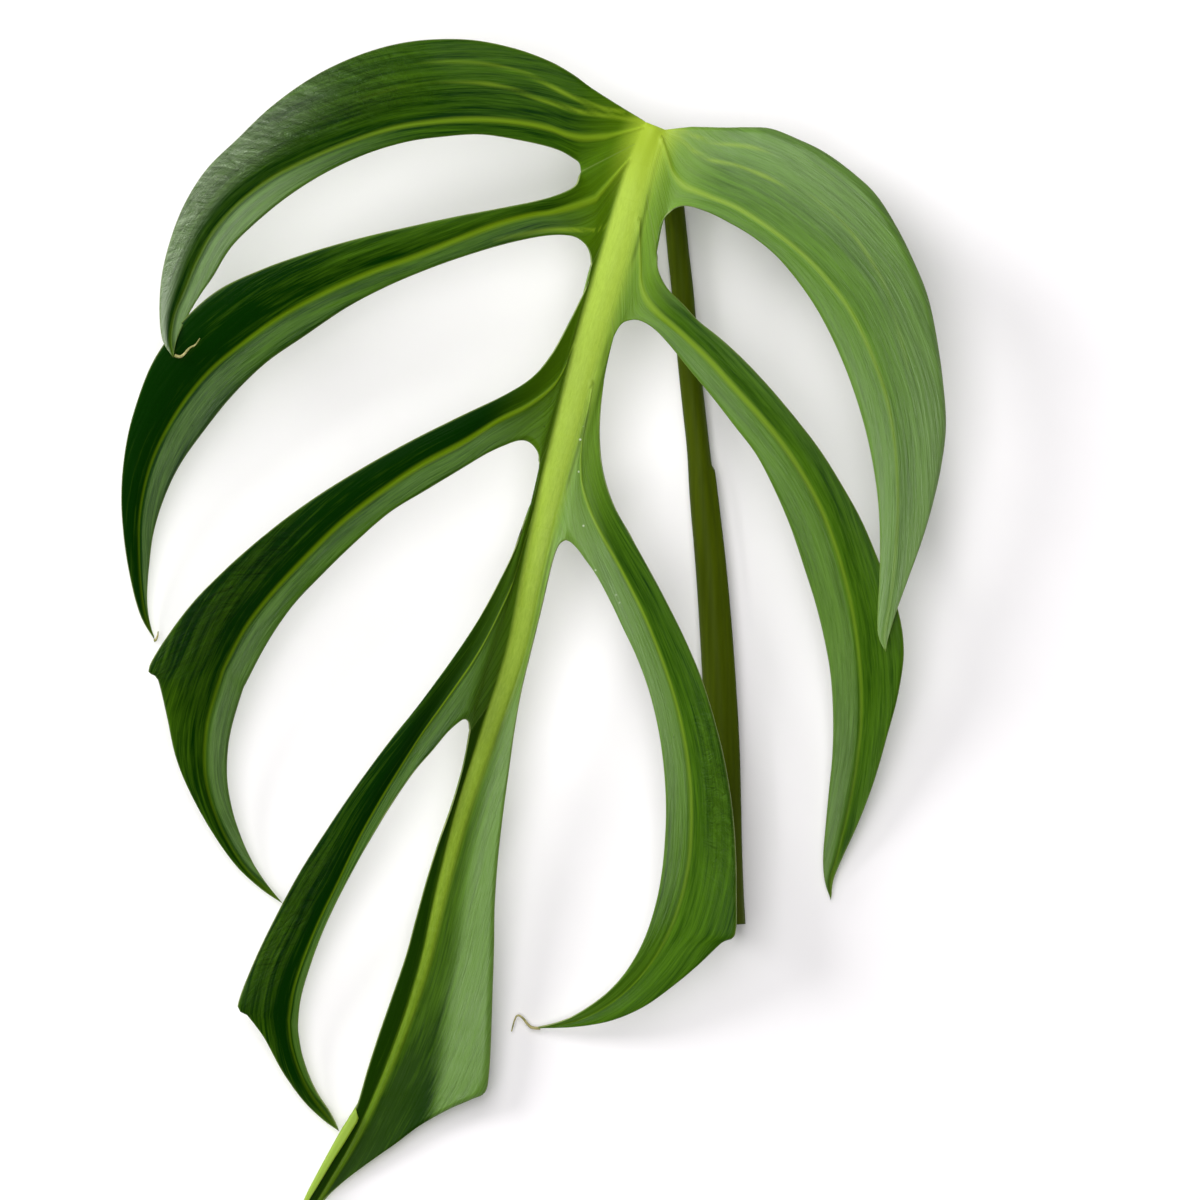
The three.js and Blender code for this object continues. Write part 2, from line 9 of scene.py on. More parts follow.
import bpy
import numpy as np
from bpy.props import FloatProperty, PointerProperty
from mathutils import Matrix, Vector

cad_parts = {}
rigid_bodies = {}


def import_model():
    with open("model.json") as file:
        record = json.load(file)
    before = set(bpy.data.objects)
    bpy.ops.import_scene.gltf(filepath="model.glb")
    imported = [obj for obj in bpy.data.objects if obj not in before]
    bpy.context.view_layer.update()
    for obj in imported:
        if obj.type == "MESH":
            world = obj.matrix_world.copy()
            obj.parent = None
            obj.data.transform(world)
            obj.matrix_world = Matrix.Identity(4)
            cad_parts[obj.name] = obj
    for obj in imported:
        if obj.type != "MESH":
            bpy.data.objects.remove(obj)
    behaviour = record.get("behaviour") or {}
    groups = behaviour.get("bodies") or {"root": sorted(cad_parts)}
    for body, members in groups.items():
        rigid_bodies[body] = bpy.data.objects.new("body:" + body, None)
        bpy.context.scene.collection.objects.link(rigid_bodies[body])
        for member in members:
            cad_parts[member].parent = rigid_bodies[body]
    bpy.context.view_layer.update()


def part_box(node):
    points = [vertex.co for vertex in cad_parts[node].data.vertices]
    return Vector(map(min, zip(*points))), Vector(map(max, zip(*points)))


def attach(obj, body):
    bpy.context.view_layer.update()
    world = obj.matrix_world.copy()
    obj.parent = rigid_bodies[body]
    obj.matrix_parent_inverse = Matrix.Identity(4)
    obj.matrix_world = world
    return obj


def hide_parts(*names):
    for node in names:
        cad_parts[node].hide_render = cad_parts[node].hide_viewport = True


bl_info = {
    "name": "Split monstera leaf",
    "version": (1, 0, 0),
    "blender": (4, 5, 0),
    "location": "View3D > Sidebar > Leaf",
    "description": "Builds a picked monstera leaf on its petiole, laid out on a pale table",
    "category": "Add Mesh",
}

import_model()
BLADE_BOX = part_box("leaf_blade")

MM = 0.001
# The blade's furthest points to the right and to the top, in mm from its base.
RIGHT_SIDE = 72.4
TOP_SIDE = 21.55

MIDRIB = [
  [0, 0.5, 25.6], [-4, -10, 26.4], [-9.5, -30, 27.4], [-15.5, -50, 27.6], [-20.7, -70, 27.0],
  [-26, -90, 25.8], [-30.5, -110, 24.2], [-34.7, -130, 22.0], [-41.3, -150, 19.4], [-48, -170, 16.4],
  [-53.3, -190, 13.2], [-58, -210, 10.0], [-64.8, -230, 7.0], [-73.5, -250, 4.0], [-81.5, -264, 2.2],
  [-89.5, -276.5, 1.1],
]

LEFT_SPLITS = [
  {"from": 6, "foot": [-18.5, -11, 30.6]},
  {"from": 31, "foot": [-15.7, -34, 28.9]},
  {"from": 82, "foot": [-28.7, -83.5, 27.6]},
  {"from": 150, "foot": [-46, -150, 20.6]},
]

RIGHT_SPLITS = [
  {"from": 17, "foot": [0.4, -31, 28.6]},
  {"from": 49, "foot": [-10.3, -52, 28.6]},
  {"from": 100, "foot": [-22.3, -102.6, 26.0]},
]

LEFT_LOBES = [
  {
    "leaves": 1.5, "heights": [27.4, 29.8, 30.8, 30.4, 29.2, 27.4, 25.6, 24.4],
    "rise": [0.22, 0.02], "camber": [0.1, 0.05],
    "stations": [
      [-10, 6, -12, -2.3, None, None], [-16, 9.8, -17.5, -2.6, -18.9, -9],
      [-21, 13.3, -22, -1.9, -20.2, -7.8],
      [-27, 16.5, -27, -0.2, -24.5, -5.5], [-36, 19.6, -35, 1.2, -32, -3.6],
      [-47, 21.5, -45, 1.8, -43, -1.9],
      [-60, 21.1, -56, 1.1, -53, -2.5], [-72, 18.2, -66, -0.6, -62, -3.8],
      [-84, 12.8, -77, -4.2, -72, -6.8],
      [-95, 5.2, -87, -8.4, -82, -11.4], [-104, -3.2, -96, -13, -91, -17],
      [-111.5, -10.5, -104, -19.2, -99, -23.4], [-117, -19, -110, -26, -105.5, -29.8],
      [-120.6, -28, -114, -33, -110, -37], [-122.8, -37, -117, -40, -113.5, -42],
      [-123.4, -46, -119.8, -47, -117, -48], [-122.6, -53, -120.6, -52.8, -119.2, -53],
    ],
    "tip": [-120, -57.2],
  },
  {
    "leaves": 10, "heights": [29.0, 30.4, 29.8, 27.2, 23.4, 18.2, 12.2, 6.4, 1.6],
    "rise": [0.4, -0.02], "camber": [0.05, 0.05],
    "stations": [
      [None, None, -14.6, -17.7, None, None], [-19.3, -14, -18.4, -19.1, -15.9, -31.8],
      [-21, -15.5, -22.4, -20.3, -17.2, -29.2], [-24.5, -17, -26.8, -21.4, -20.5, -27.1],
      [-30, -18.6, -32, -22.1, -27, -27], [-39, -20.4, -40, -24.4, -37, -29],
      [-50, -22.5, -50, -28.3, -48, -32.3],
      [-62, -25.1, -60, -32.3, -57.5, -35.7], [-74, -27.9, -70, -35.8, -67, -39.7],
      [-86, -31.3, -81, -40.5, -77, -44.9], [-98, -35.5, -92, -46.2, -87.5, -51.9],
      [-109, -40.7, -102, -53, -97, -58.4], [-118, -48.5, -111, -60.3, -105.5, -66.5],
      [-125, -57.8, -118, -68.5, -112.5, -75], [-129.5, -68.5, -123.5, -77.5, -118.5, -83.2],
      [-132.3, -79, -127, -86, -122.6, -91.3], [-133.6, -91, -129.1, -96, -125.6, -100.4],
      [-133, -103, -129.4, -106, -126.9, -109], [-131.2, -114, -128.9, -115, -127.5, -117],
      [-128.9, -122, -127.8, -122, -127, -122.5],
    ],
    "tip": [-125.6, -127.7],
  },
  {
    "leaves": 58, "heights": [28.0, 29.4, 28.8, 26.0, 21.6, 16.2, 10.8, 5.8, 1.6],
    "rise": [0.4, -0.03], "camber": [0.06, 0.05],
    "stations": [
      [None, None, -21.4, -56.5, None, None], [-16.4, -38, -22.3, -59.3, -28.9, -81.5],
      [-18.4, -42.7, -23.6, -61.8, -30, -79.5], [-21.5, -49, -25, -64, -31.8, -78.1],
      [-25.5, -56.3, -28, -66.8, -34, -77.9], [-30.5, -62.2, -32.5, -69.8, -37, -78.9],
      [-38, -66.9, -39, -73, -42, -81.2], [-49, -72.2, -48, -78.6, -49, -85.4],
      [-61, -78.2, -58, -83.9, -57.5, -90.5], [-73, -84.9, -68, -90.5, -66, -95.7],
      [-85, -92.4, -78, -98.2, -74.5, -103], [-96, -100.5, -87, -106.8, -83, -111.2],
      [-107, -110, -95.5, -115.8, -90.5, -119.1], [-117, -120.5, -102, -124, -96.8, -128.2],
      [-126, -134, -107, -133, -101.8, -137.5], [-124, -137.4, -108.8, -137.5, -103.4, -141],
      [-122, -146.5, -112, -148.5, -106.4, -151.5], [-120, -156.5, -112.8, -158.5, -107.2, -161],
      [-116.8, -165, -111.5, -167.5, -106.2, -169], [-111.5, -175, -108, -176.5, -104, -176.5],
      [-105.3, -184, -103.3, -184.3, -101, -183.3], [-99, -190, -98.3, -189.6, -97.5, -188.8],
    ],
    "tip": [-93.5, -193.8],
  },
  {
    "leaves": 101, "heights": [25.4, 25.6, 24.0, 21.0, 17.2, 13.0, 8.8, 4.8, 1.5],
    "rise": [0.38, 0.02], "camber": [0.05, 0.04],
    "stations": [
      [None, None, -35.5, -113.5, None, None], [-29.5, -88.5, -38.5, -120, -46.3, -148],
      [-31.5, -95.6, -42, -127, -47.4, -147.2], [-34.5, -104, -45.5, -132.9, -49, -148],
      [-38.5, -112.5, -49, -138, -52, -150.7], [-44, -122.5, -53, -143.6, -55.5, -154.9],
      [-51, -133, -58, -150.6, -60, -160], [-58.5, -143.1, -63, -158.4, -64.8, -166.7],
      [-66.5, -153.2, -68.5, -167.4, -69.8, -174.7], [-74.5, -164, -74, -177.2, -75, -184],
      [-82, -175, -79.3, -188.2, -79.9, -193.3], [-89, -186, -84, -197.8, -84, -202.5],
      [-95.3, -197.7, -87.8, -207, -87, -211], [-100.8, -209.3, -90.3, -214.5, -88.9, -218],
      [-104.4, -219.3, -91.6, -221.5, -89.5, -224], [-102.2, -221.4, -91.7, -224, -89.3, -227],
      [-98, -227.2, -91.2, -229, -88.6, -231.3], [-93.5, -235.7, -89.4, -235.2, -87, -236.8],
      [-88.5, -243, -86.4, -241.6, -84.6, -241.8], [-83.5, -248, -82.6, -246.8, -81.6, -246.4],
    ],
    "tip": [-79.3, -251],
  },
]

RIGHT_LOBES = [
  {
    "leaves": 2, "heights": [25.8, 27.8, 29.0, 29.2, 28.2, 26.2, 23.6, 21.4, 20.0],
    "rise": [-0.1, 0.04], "camber": [0.03, 0.03],
    "stations": [
      [9, 0.3, 4.2, -11, None, None], [13, 0.2, 5.6, -13, 0.7, -27], [18, 0.1, 7.6, -14.7, 1.6, -23.3],
      [23.5, 0.2, 10.3, -15.9, 3.6, -20.6], [29, -0.2, 14, -17.5, 7.4, -19.4],
      [35.5, -2.8, 20, -20, 12.5, -20.8],
      [42, -6, 26, -23.7, 18, -23.5], [49, -11.1, 32, -28, 24, -27.1], [55, -16.8, 38, -33.1, 29.8, -31.8],
      [60.2, -25, 43.5, -39.1, 35, -37.8], [64.4, -33.5, 48.2, -45.3, 39.6, -44.4],
      [67.8, -42, 52, -52.5, 43.5, -51.5], [70, -52, 55.2, -60.2, 47, -59.3],
      [71.6, -63, 57.8, -68.5, 50, -67.5],
      [72.4, -74, 59.5, -78, 52.5, -76], [71.3, -84, 60.2, -87, 54.4, -85],
      [69.2, -93.5, 60.4, -95.5, 55.6, -94],
      [66.6, -102.5, 60, -104, 56, -103], [63.2, -112, 59.3, -112.5, 55.9, -112],
      [60.5, -119.5, 58.2, -120.5, 55.5, -120], [58.3, -126.5, 57.2, -126.5, 55.6, -126.3],
    ],
    "tip": [57.5, -130.5],
  },
  {
    "leaves": 24, "heights": [26.8, 26.4, 25.6, 23.2, 19.4, 14.6, 9.6, 5.2, 1.6],
    "rise": [0.36, 0.0], "camber": [0.03, 0.04],
    "stations": [
      [None, None, -3.7, -38, None, None], [0.5, -34.5, -3, -41, -9, -49.6],
      [1.5, -37.5, -1.3, -44, -7.3, -48.2],
      [3.4, -40.5, 1.5, -47, -4.2, -47.9], [6.5, -43.6, 5, -50, -0.5, -49.9],
      [10.5, -48, 9, -53.6, 3.4, -53.9],
      [16, -52.4, 13.8, -58.2, 8.5, -60.2], [22, -57.9, 19, -64, 14, -66.8],
      [28.5, -64.8, 25, -70.6, 19.8, -74.3],
      [35, -72.5, 31, -77.8, 25.2, -81.4], [41, -80.3, 36.6, -86, 29.8, -90.2],
      [46.5, -89, 41.7, -95.5, 33.8, -99.5],
      [51.5, -98, 45.6, -106, 37.2, -109.5], [56, -108.5, 48.4, -116, 40, -118.2],
      [60.3, -119, 50.3, -126, 42.2, -126.8], [62.1, -130, 51.4, -136, 43.9, -136],
      [60.8, -141, 51.7, -146, 44.6, -146], [58, -152, 51, -156, 44.5, -156],
      [54.9, -163, 49.6, -165, 43.7, -165],
      [51, -173.5, 47.8, -173.5, 42.9, -174], [47.2, -182, 45.8, -182, 42.3, -182],
      [44.8, -188, 44.2, -188, 42.7, -188],
    ],
    "tip": [44.3, -193],
  },
  {
    "leaves": 66, "heights": [26.4, 25.6, 24.6, 22.4, 19.8, 17.0, 14.0, 8.4, 1.6],
    "rise": [0.36, 0.02], "camber": [0.03, 0.03],
    "stations": [
      [None, None, -18.3, -78, None, None], [-11.2, -55.5, -18.6, -82, -21, -103.2],
      [-12.5, -61.5, -18.5, -87, -19.2, -105], [-13.6, -69, -17.8, -91, -17.3, -107.6],
      [-14, -77, -16, -96, -15.2, -110.5], [-13.3, -85, -13.2, -101.6, -13, -114.2],
      [-10.8, -93.2, -9.8, -107.5, -10.7, -118.8], [-6.3, -101.5, -5.8, -115, -7.8, -125],
      [-1.3, -110.5, -2.2, -122.5, -4.8, -131.3], [3.2, -119, 1.2, -131, -2, -138.7],
      [7.5, -127.7, 4, -139, 0, -146],
      [11.5, -137.2, 6.3, -147.5, 1.4, -153.3], [14.8, -147.8, 8, -156.5, 2.3, -161],
      [17.3, -158, 8.9, -165.5, 2.7, -168.8], [19.1, -169, 9, -174.5, 2.5, -176.5],
      [20, -180, 8.4, -183, 1.8, -184.5], [20.2, -190.5, 6.8, -191, 0.4, -192.5],
      [19.9, -200.8, 4.2, -198.8, -1.9, -200.3], [16.5, -203.2, 1, -205.3, -4.6, -206.3],
      [10.5, -209, -3, -211, -8, -211.6], [4, -214.5, -7.5, -215.8, -12, -216],
      [-3, -219.5, -12.6, -219.7, -16.5, -219.5], [-11, -223, -18, -222.5, -21, -222.3],
      [-20, -224.7, -23.5, -224.2, -25.2, -224],
    ],
    "tip": [-30, -225.2],
  },
]

END_LOBE = {
  "left": {
    "rise": 0.34, "camber": 0.05, "roll": 1.25,
    "stations": [
      [158, -46.9, -154.5], [165, -48.3, -161], [174, -50.8, -169.5], [184, -53.9, -178],
      [195, -57, -187.5],
      [205, -59.8, -197.5], [215, -62.4, -207], [226, -66, -217.5], [236, -69.3, -227], [247, -72.2, -236],
      [257, -74.9, -245], [265, -79, -252.5], [273, -84, -261.5], [281, -88, -269.5],
    ],
  },
  "right": {
    "rise": 0.05, "camber": -0.04,
    "stations": [
      [102.5, -23.6, -103.3], [105, -24.7, -105], [109, -26, -109], [115, -27.2, -114], [124, -28.8, -121],
      [134, -31.2, -130.5], [144, -33.4, -140], [155, -35.2, -150.5], [165, -36.5, -160], [177, -38, -171],
      [189, -39.3, -182.5], [200, -40.1, -194], [211, -40.3, -205], [222, -40.7, -216.5],
      [231, -41.1, -227.5],
      [239, -41.6, -236], [245, -42.6, -241], [250, -46, -242.8], [255, -52, -245.5], [261, -59, -249.5],
      [266, -65, -254], [271, -71.5, -258.6], [277, -78, -263.5], [283, -84, -269],
    ],
  },
}

PETIOLE = [
  [18.2, -199, 4.6, 4.6], [17.8, -190, 4.55, 4.5], [17.2, -170, 4.3, 4.25], [16.5, -150, 4.1, 4.05],
  [15.4, -130, 3.9, 3.85], [13.9, -110, 3.65, 3.6], [12.1, -92, 3.35, 3.3], [11, -80, 2.95, 2.9],
  [9.9, -70, 2.9, 2.85], [8.3, -55, 2.85, 2.8], [7, -40, 2.8, 2.75], [5.9, -30, 2.85, 2.7],
  [5.0, -21, 3.5, 2.65], [4.2, -13.5, 5.6, 2.65], [3.2, -8, 9.6, 2.75], [2.0, -5.1, 14.2, 2.9],
  [0.8, -4.5, 18.2, 2.9],
]

# The skin of each lobe on its outer strip, beside its vein and on its inner strip, near the root and then
# near the tip. The left half's lobes come first, then the right half's, the end lobe's and the midrib's.
# How pale the tissue is: 0 the deepest green, 1 the palest, and under 0 without even a pale streak.
# Besides the tissue's own tone, these values paint light and shade: strips that tilt away from the softbox are
# painted darker, and strips that catch its sheen are painted paler.
PALENESS_AND_PAINTED_SHADE = [
    [(0.3, 0.12, 0.26), (0.5, 0.12, 0.6)], [(0.3, 0.06, 0.3), (-0.2, -0.2, 0.24)],
    [(-0.08, -0.1, 0.4), (0.2, 0.08, 0.46)], [(-0.04, -0.1, 0.34), (0.18, 0.04, 0.4)],
    [(0.82, 0.74, 0.88), (0.92, 0.76, 0.95)], [(0.34, 0.4, 0.74), (0.42, 0.4, 0.8)],
    [(0.28, 0.34, 0.9), (0.42, 0.38, 0.56)], [(-0.1, -0.1, 0.9), (-0.1, -0.1, 0.9)],
    [(0.5, 0.5, 0.5), (0.5, 0.5, 0.5)],
]
# How waxy its face is: 1 gives a sheen of about 0.4, and above 0.7 a grey painted sheen is mixed into its
# colour too.
WAX_AND_PAINTED_SHEEN = [
    [(0.2, 0.1, 0.05), (2.9, 0.4, 1.3)], [(0.15, 0.1, 0.3), (0.1, 0.1, 1.1)],
    [(0.1, 0.1, 0.5), (0.15, 0.1, 1.2)], [(0.1, 0.1, 0.5), (0.15, 0.1, 0.9)],
    [(1.3, 0.7, 0.9), (2.1, 1.2, 1.5)], [(0.4, 0.25, 0.9), (0.4, 0.25, 1.3)],
    [(0.3, 0.25, 1.5), (0.25, 0.2, 0.7)], [(0.1, 0.1, 0.9), (0.1, 0.1, 0.9)],
    [(0.2, 0.2, 0.2), (0.2, 0.2, 0.2)],
]

# Where the skin changes: along the lobe as a share of its length, from the vein to the outer margin as a
# share of that width, and from the vein inwards in mm.
ROOT_TO_TIP = (0.32, 0.74)
VEIN_TO_OUTER = (0.1, 0.8)
VEIN_TO_INNER = (0.2, 1.6)
# The edge of the end lobe's wedge of painted shade, a deeper green: mm along the midrib, and mm out from it
# there.
SHADE_WEDGE_EDGE = ([150, 200, 225, 245, 265], [0.5, 4.5, 7.5, 12.0, 17.0])

# Lobes whose outer strip is wrinkled: from and to in mm along the vein, each fading in and out over 25 mm.
WRINKLED = {0: (34, 135), 2: (66, 130), 3: (76, 130), 6: (70, 125)}
WRINKLE_FADE = 25

# The withered threads at the ends of three lobes, in mm, from the tissue outwards.
THREADS = {
    "first_lobe_thread": [
        [-119.6, -56.6, 24.3], [-118.6, -57.1, 24.5], [-117.4, -56.5, 24.8], [-116.4, -55.2, 25.2],
        [-115.4, -54.4, 25.6], [-114.4, -54.2, 26.0], [-113.3, -52.4, 26.4],
    ],
    "second_lobe_thread": [
        [-125.8, -127.7, 1.3], [-125.5, -127.6, 1.4], [-125.2, -127.1, 1.6], [-124.9, -126.4, 1.9],
        [-124.8, -125.4, 2.1],
    ],
    "third_right_lobe_thread": [
        [-28.8, -225.1, 1.5], [-30.6, -225.3, 1.3], [-32.0, -224.2, 1.3], [-33.2, -222.4, 1.6],
        [-34.5, -221.7, 1.8], [-35.3, -223.0, 1.5], [-36.0, -226.0, 1.0],
    ],
}

# Half the midrib's width in mm, at equal steps from base to tip.
RIB_HALF_WIDTH = [2.6, 3.7, 3.7, 3.3, 2.8, 2.4, 2.0, 1.6, 1.3, 1.0, 0.7, 0.4]

# Thinner veins that run beside a lobe's main vein: the lobe's number, and points in mm.
SIDE_VEINS = [
    (0, [[-2, 1.4], [-10, 2.6], [-19, 3.9], [-27, 6.4], [-37, 9.6], [-47, 11.2], [-60, 10.8], [-75, 6.5]]),
    (0, [[-8, 3.9], [-13.7, 4.9], [-21.7, 8], [-28.4, 11.4], [-33.7, 13.5], [-45, 15.8], [-60, 16]]),
    (1, [[-11, -23.5], [-14.5, -25.6], [-20, -25.5], [-28, -25.8], [-40, -28.2]]),
    (4, [[3.2, 0], [7, -3.4], [10, -6], [15, -8.3], [20, -9.5], [30, -13.2], [40, -18.5], [50, -28],
         [58, -42], [63, -60]]),
    (4, [[6, -0.4], [14, -3.4], [24, -4.8], [34, -7.6], [44, -13]]),
]


def srgb(code):
    """An sRGB hex colour as the linear colour that a socket takes."""
    parts = [int(code[i:i + 2], 16) / 255 for i in (1, 3, 5)]
    linear = [c / 12.92 if c <= 0.04045 else ((c + 0.055) / 1.055) ** 2.4 for c in parts]
    return (*linear, 1.0)


def through(points, at):
    """A smooth curve through the points, at from 0 to len(points) - 1."""
    points = np.asarray(points, float)
    at = np.atleast_1d(np.asarray(at, float))
    i = np.clip(np.floor(at).astype(int), 0, len(points) - 2)
    f = (at - i)[:, None]
    p1, p2 = points[i], points[i + 1]
    p0 = np.where((i > 0)[:, None], points[np.maximum(i - 1, 0)], 2 * p1 - p2)
    last = (i + 2 >= len(points))[:, None]
    p3 = np.where(last, 2 * p2 - p1, points[np.minimum(i + 2, len(points) - 1)])
    b, c, d = p2 - p0, 2 * p0 - 5 * p1 + 4 * p2 - p3, -p0 + 3 * p1 - 3 * p2 + p3
    return 0.5 * (2 * p1 + b * f + c * f * f + d * f ** 3)


def smooth_step(low, high, value):
    t = np.clip((value - low) / (high - low), 0, 1)
    return t * t * (3 - 2 * t)


def plan_run(points):
    """Distance walked along a line of points, in plan."""
    steps = np.hypot(*np.diff(np.asarray(points)[:, :2], axis=0).T)
    return np.concatenate([[0], np.cumsum(steps)])


RIB_LINE = through(MIDRIB, np.linspace(0, len(MIDRIB) - 1, 900))
RIB_RUN = plan_run(RIB_LINE)
RIB_LENGTH = RIB_RUN[-1]


def rib_at(along):
    along = np.clip(np.atleast_1d(along), 0, RIB_LENGTH)
    return np.stack([np.interp(along, RIB_RUN, RIB_LINE[:, k]) for k in range(3)], axis=1)


def rib_half_width(along):
    t = np.clip(np.atleast_1d(along) / RIB_LENGTH, 0, 1) * (len(RIB_HALF_WIDTH) - 1)
    return through(np.array(RIB_HALF_WIDTH)[:, None], t)[:, 0]


def rib_side(along, across):
    """A point beside the midrib's centre line, across being a share of its half width, left negative."""
    along = np.atleast_1d(along)
    ahead, back = rib_at(along + 1), rib_at(along - 1)
    run = np.hypot(ahead[:, 0] - back[:, 0], ahead[:, 1] - back[:, 1])
    half = rib_half_width(along) * across
    point = rib_at(along)
    point[:, 0] += -(ahead[:, 1] - back[:, 1]) / run * half
    point[:, 1] += (ahead[:, 0] - back[:, 0]) / run * half
    point[:, 2] += 0.08 * np.abs(half)
    return point


def line_distance(points, line):
    """Signed distance in plan from each point to a line, with how far along it the nearest place is."""
    line = np.asarray(line, float)[:, :2]
    run = plan_run(line)
    best = np.full(len(points), np.inf)
    where = np.zeros(len(points))
    for i in range(len(line) - 1):
        a, b = line[i], line[i + 1]
        d = b - a
        length = max(np.hypot(*d), 1e-9)
        rel = points[:, :2] - a
        t = np.clip((rel @ d) / length ** 2, 0, 1)
        off = rel - t[:, None] * d
        gap = np.hypot(off[:, 0], off[:, 1])
        sign = np.where(rel[:, 0] * d[1] - rel[:, 1] * d[0] >= 0, 1.0, -1.0)
        nearer = gap < np.abs(best)
        best = np.where(nearer, gap * sign, best)
        where = np.where(nearer, run[i] + t * length, where)
    return best, where


class Sheet:
    """The blade's upper face: welded points, triangles that face up, and each lobe's own marks on them."""

    def __init__(self):
        self.points, self.faces, self.groups = [], [], []
        self.known, self.marks = {}, {}

    def place(self, point, marks):
        """Adds a point, or finds it again. The marks belong to the group that ends them."""
        key = tuple(int(round(v * WELD_STEPS)) for v in point)
        if key not in self.known:
            self.known[key] = len(self.points)
            self.points.append([float(v) for v in point])
        number = self.known[key]
        self.marks[number, int(marks[-1])] = tuple(float(v) for v in marks)
        return number

    def triangle(self, group, a, b, c):
        if a != b and b != c and c != a:
            self.faces.append((a, b, c))
            self.groups.append(group)

    def join_rows(self, group, row_a, row_b, side):
        for a, b, c, d in zip(row_a, row_a[1:], row_b[1:], row_b):
            for p, q, r in ((a, b, c), (a, c, d)):
                self.triangle(group, p, *((q, r) if side > 0 else (r, q)))

    def lay(self, group, columns, tip, tip_marks, side):
        """Places columns of points with their marks, closes them at a tip and joins them. Gives the rows."""
        count = len(columns[0][0])
        rows = [[self.place(points[r], marks[r]) for points, marks in columns] for r in range(count)]
        rows.append([self.place(tip, tip_marks)] * len(columns))
        for a, b in zip(rows, rows[1:]):
            self.join_rows(group, a, b, side)
        return rows

    def zip_lines(self, group, left, right):
        """Joins two lines of (point, distance along) whose points are spaced differently."""
        i = j = 0
        while i + 1 < len(left) or j + 1 < len(right):
            left_next = left[i + 1][1] + left[i][1] if i + 1 < len(left) else math.inf
            right_next = right[j + 1][1] + right[j][1] if j + 1 < len(right) else math.inf
            if left_next < right_next:
                self.triangle(group, left[i][0], left[i + 1][0], right[j][0])
                i += 1
            else:
                self.triangle(group, left[i][0], right[j + 1][0], right[j][0])
                j += 1

    def corner_marks(self):
        """One row of marks for each corner of each triangle, from the triangle's own group."""
        blank = (FAR, FAR, 0.0, 0.0, MIDRIB_GROUP)
        rows = []
        for face, group in zip(self.faces, self.groups):
            rows += [self.marks.get((number, group), blank) for number in face]
        return np.array(rows)


# How the fine blade is divided, in mm or in counts.
ROW_STEP = 1.25
WEB_ROWS = 9
OUTER_COLUMNS = 13
INNER_COLUMNS = 9
RIB_ROWS = 230
CROWN_SHARES = (-0.75, -0.5, -0.25, 0.0, 0.25, 0.5, 0.75)
WELD_STEPS = 200  # to the mm: nearer points become one
COLUMN_SPREAD = 1.25  # over 1 sets the columns closer beside the vein

# Where a lobe's camber grows in, from and to in mm along its vein. The first lobe stays flat near its root.
CAMBER_FROM = {0: (24, 56)}
FROM_THE_ROOT = (-2, -1)
WIDEST_FOLD = 16  # mm of a strip's width that fold up, where the strip is wider than that

# The margin that rolls over at the end lobe's left: the turns of the roll, and where it starts and ends.
ROLL_TURNS = (0.35, 0.75, 1.15, 1.6, 2.1, 2.5, 2.8)
ROLL_RADIUS = 0.42
ROLL_STARTS = (257, 260)
ROLL_ENDS = (276, 286)

# Relief in mm: the midrib's crown above, the groove beside it, the main veins, and the midrib below, which
# reaches a little past its half width. Each gain is what the base has more than the tip.
CROWN_AT_TIP, CROWN_GAIN = 0.12, 0.28
GROOVE_DEPTH = 0.1
VEIN_ABOVE, VEIN_BELOW = 0.32, 1.5
RIB_BELOW_AT_TIP, RIB_BELOW_GAIN = 0.6, 3.0
RIB_REACH = 1.3

# The last two of the groups of marks. The first seven are the lobes.
END_GROUP = 7
MIDRIB_GROUP = 8
FAR = 30.0


def fold_width(margins, veins):
    """Width over which a strip folds up: from vein to margin, but no further than to the midrib's edge."""
    margins, veins = np.asarray(margins, float), np.asarray(veins, float)
    width = np.hypot(*(margins - veins[:, :margins.shape[1]])[:, :2].T)
    to_rib = np.abs(line_distance(margins, RIB_LINE[::6])[0]) - RIB_HALF_WIDTH[2]
    return np.clip(np.minimum(width, to_rib), 0, WIDEST_FOLD)


def lobe_station_points(lobe, before, after):
    """The lobe's three lines, margin, vein and margin, one point per station."""
    steps = len(lobe["heights"]) - 1
    runs = plan_run([*[s[2:4] for s in lobe["stations"]], lobe["tip"]])
    cross = []
    for i, s in enumerate(lobe["stations"]):
        z = float(through(np.array(lobe["heights"])[:, None], runs[i] / runs[-1] * steps)[0, 0])
        vein = [s[2], s[3], z]
        row = []
        outer, inner = (s[0], s[1], before, lobe["rise"][0]), (s[4], s[5], after, lobe["rise"][1])
        for x, y, split, rise in (outer, inner):
            if x is None:
                row.append(split["foot"])
            else:
                row.append([x, y, z + rise * fold_width([[x, y]], [vein])[0]])
        cross.append([row[0], vein, row[1]])
    tip = [*lobe["tip"], lobe["heights"][-1]]
    cross.append([tip, tip, tip])
    return np.array(cross, float)


def finer(runs):
    """Station numbers at steps of about ROW_STEP, from the length of each gap between stations."""
    rows_at = []
    for i, run in enumerate(runs):
        count = max(1, round(run / ROW_STEP))
        rows_at += [i + j / count for j in range(count)]
    return rows_at


def marks_of(across, to_margin, along, total, group):
    """The marks of one column of points: vein mm, margin mm, along mm, along share and group."""
    return np.stack(np.broadcast_arrays(across, to_margin, along, along / total, float(group)), axis=1)


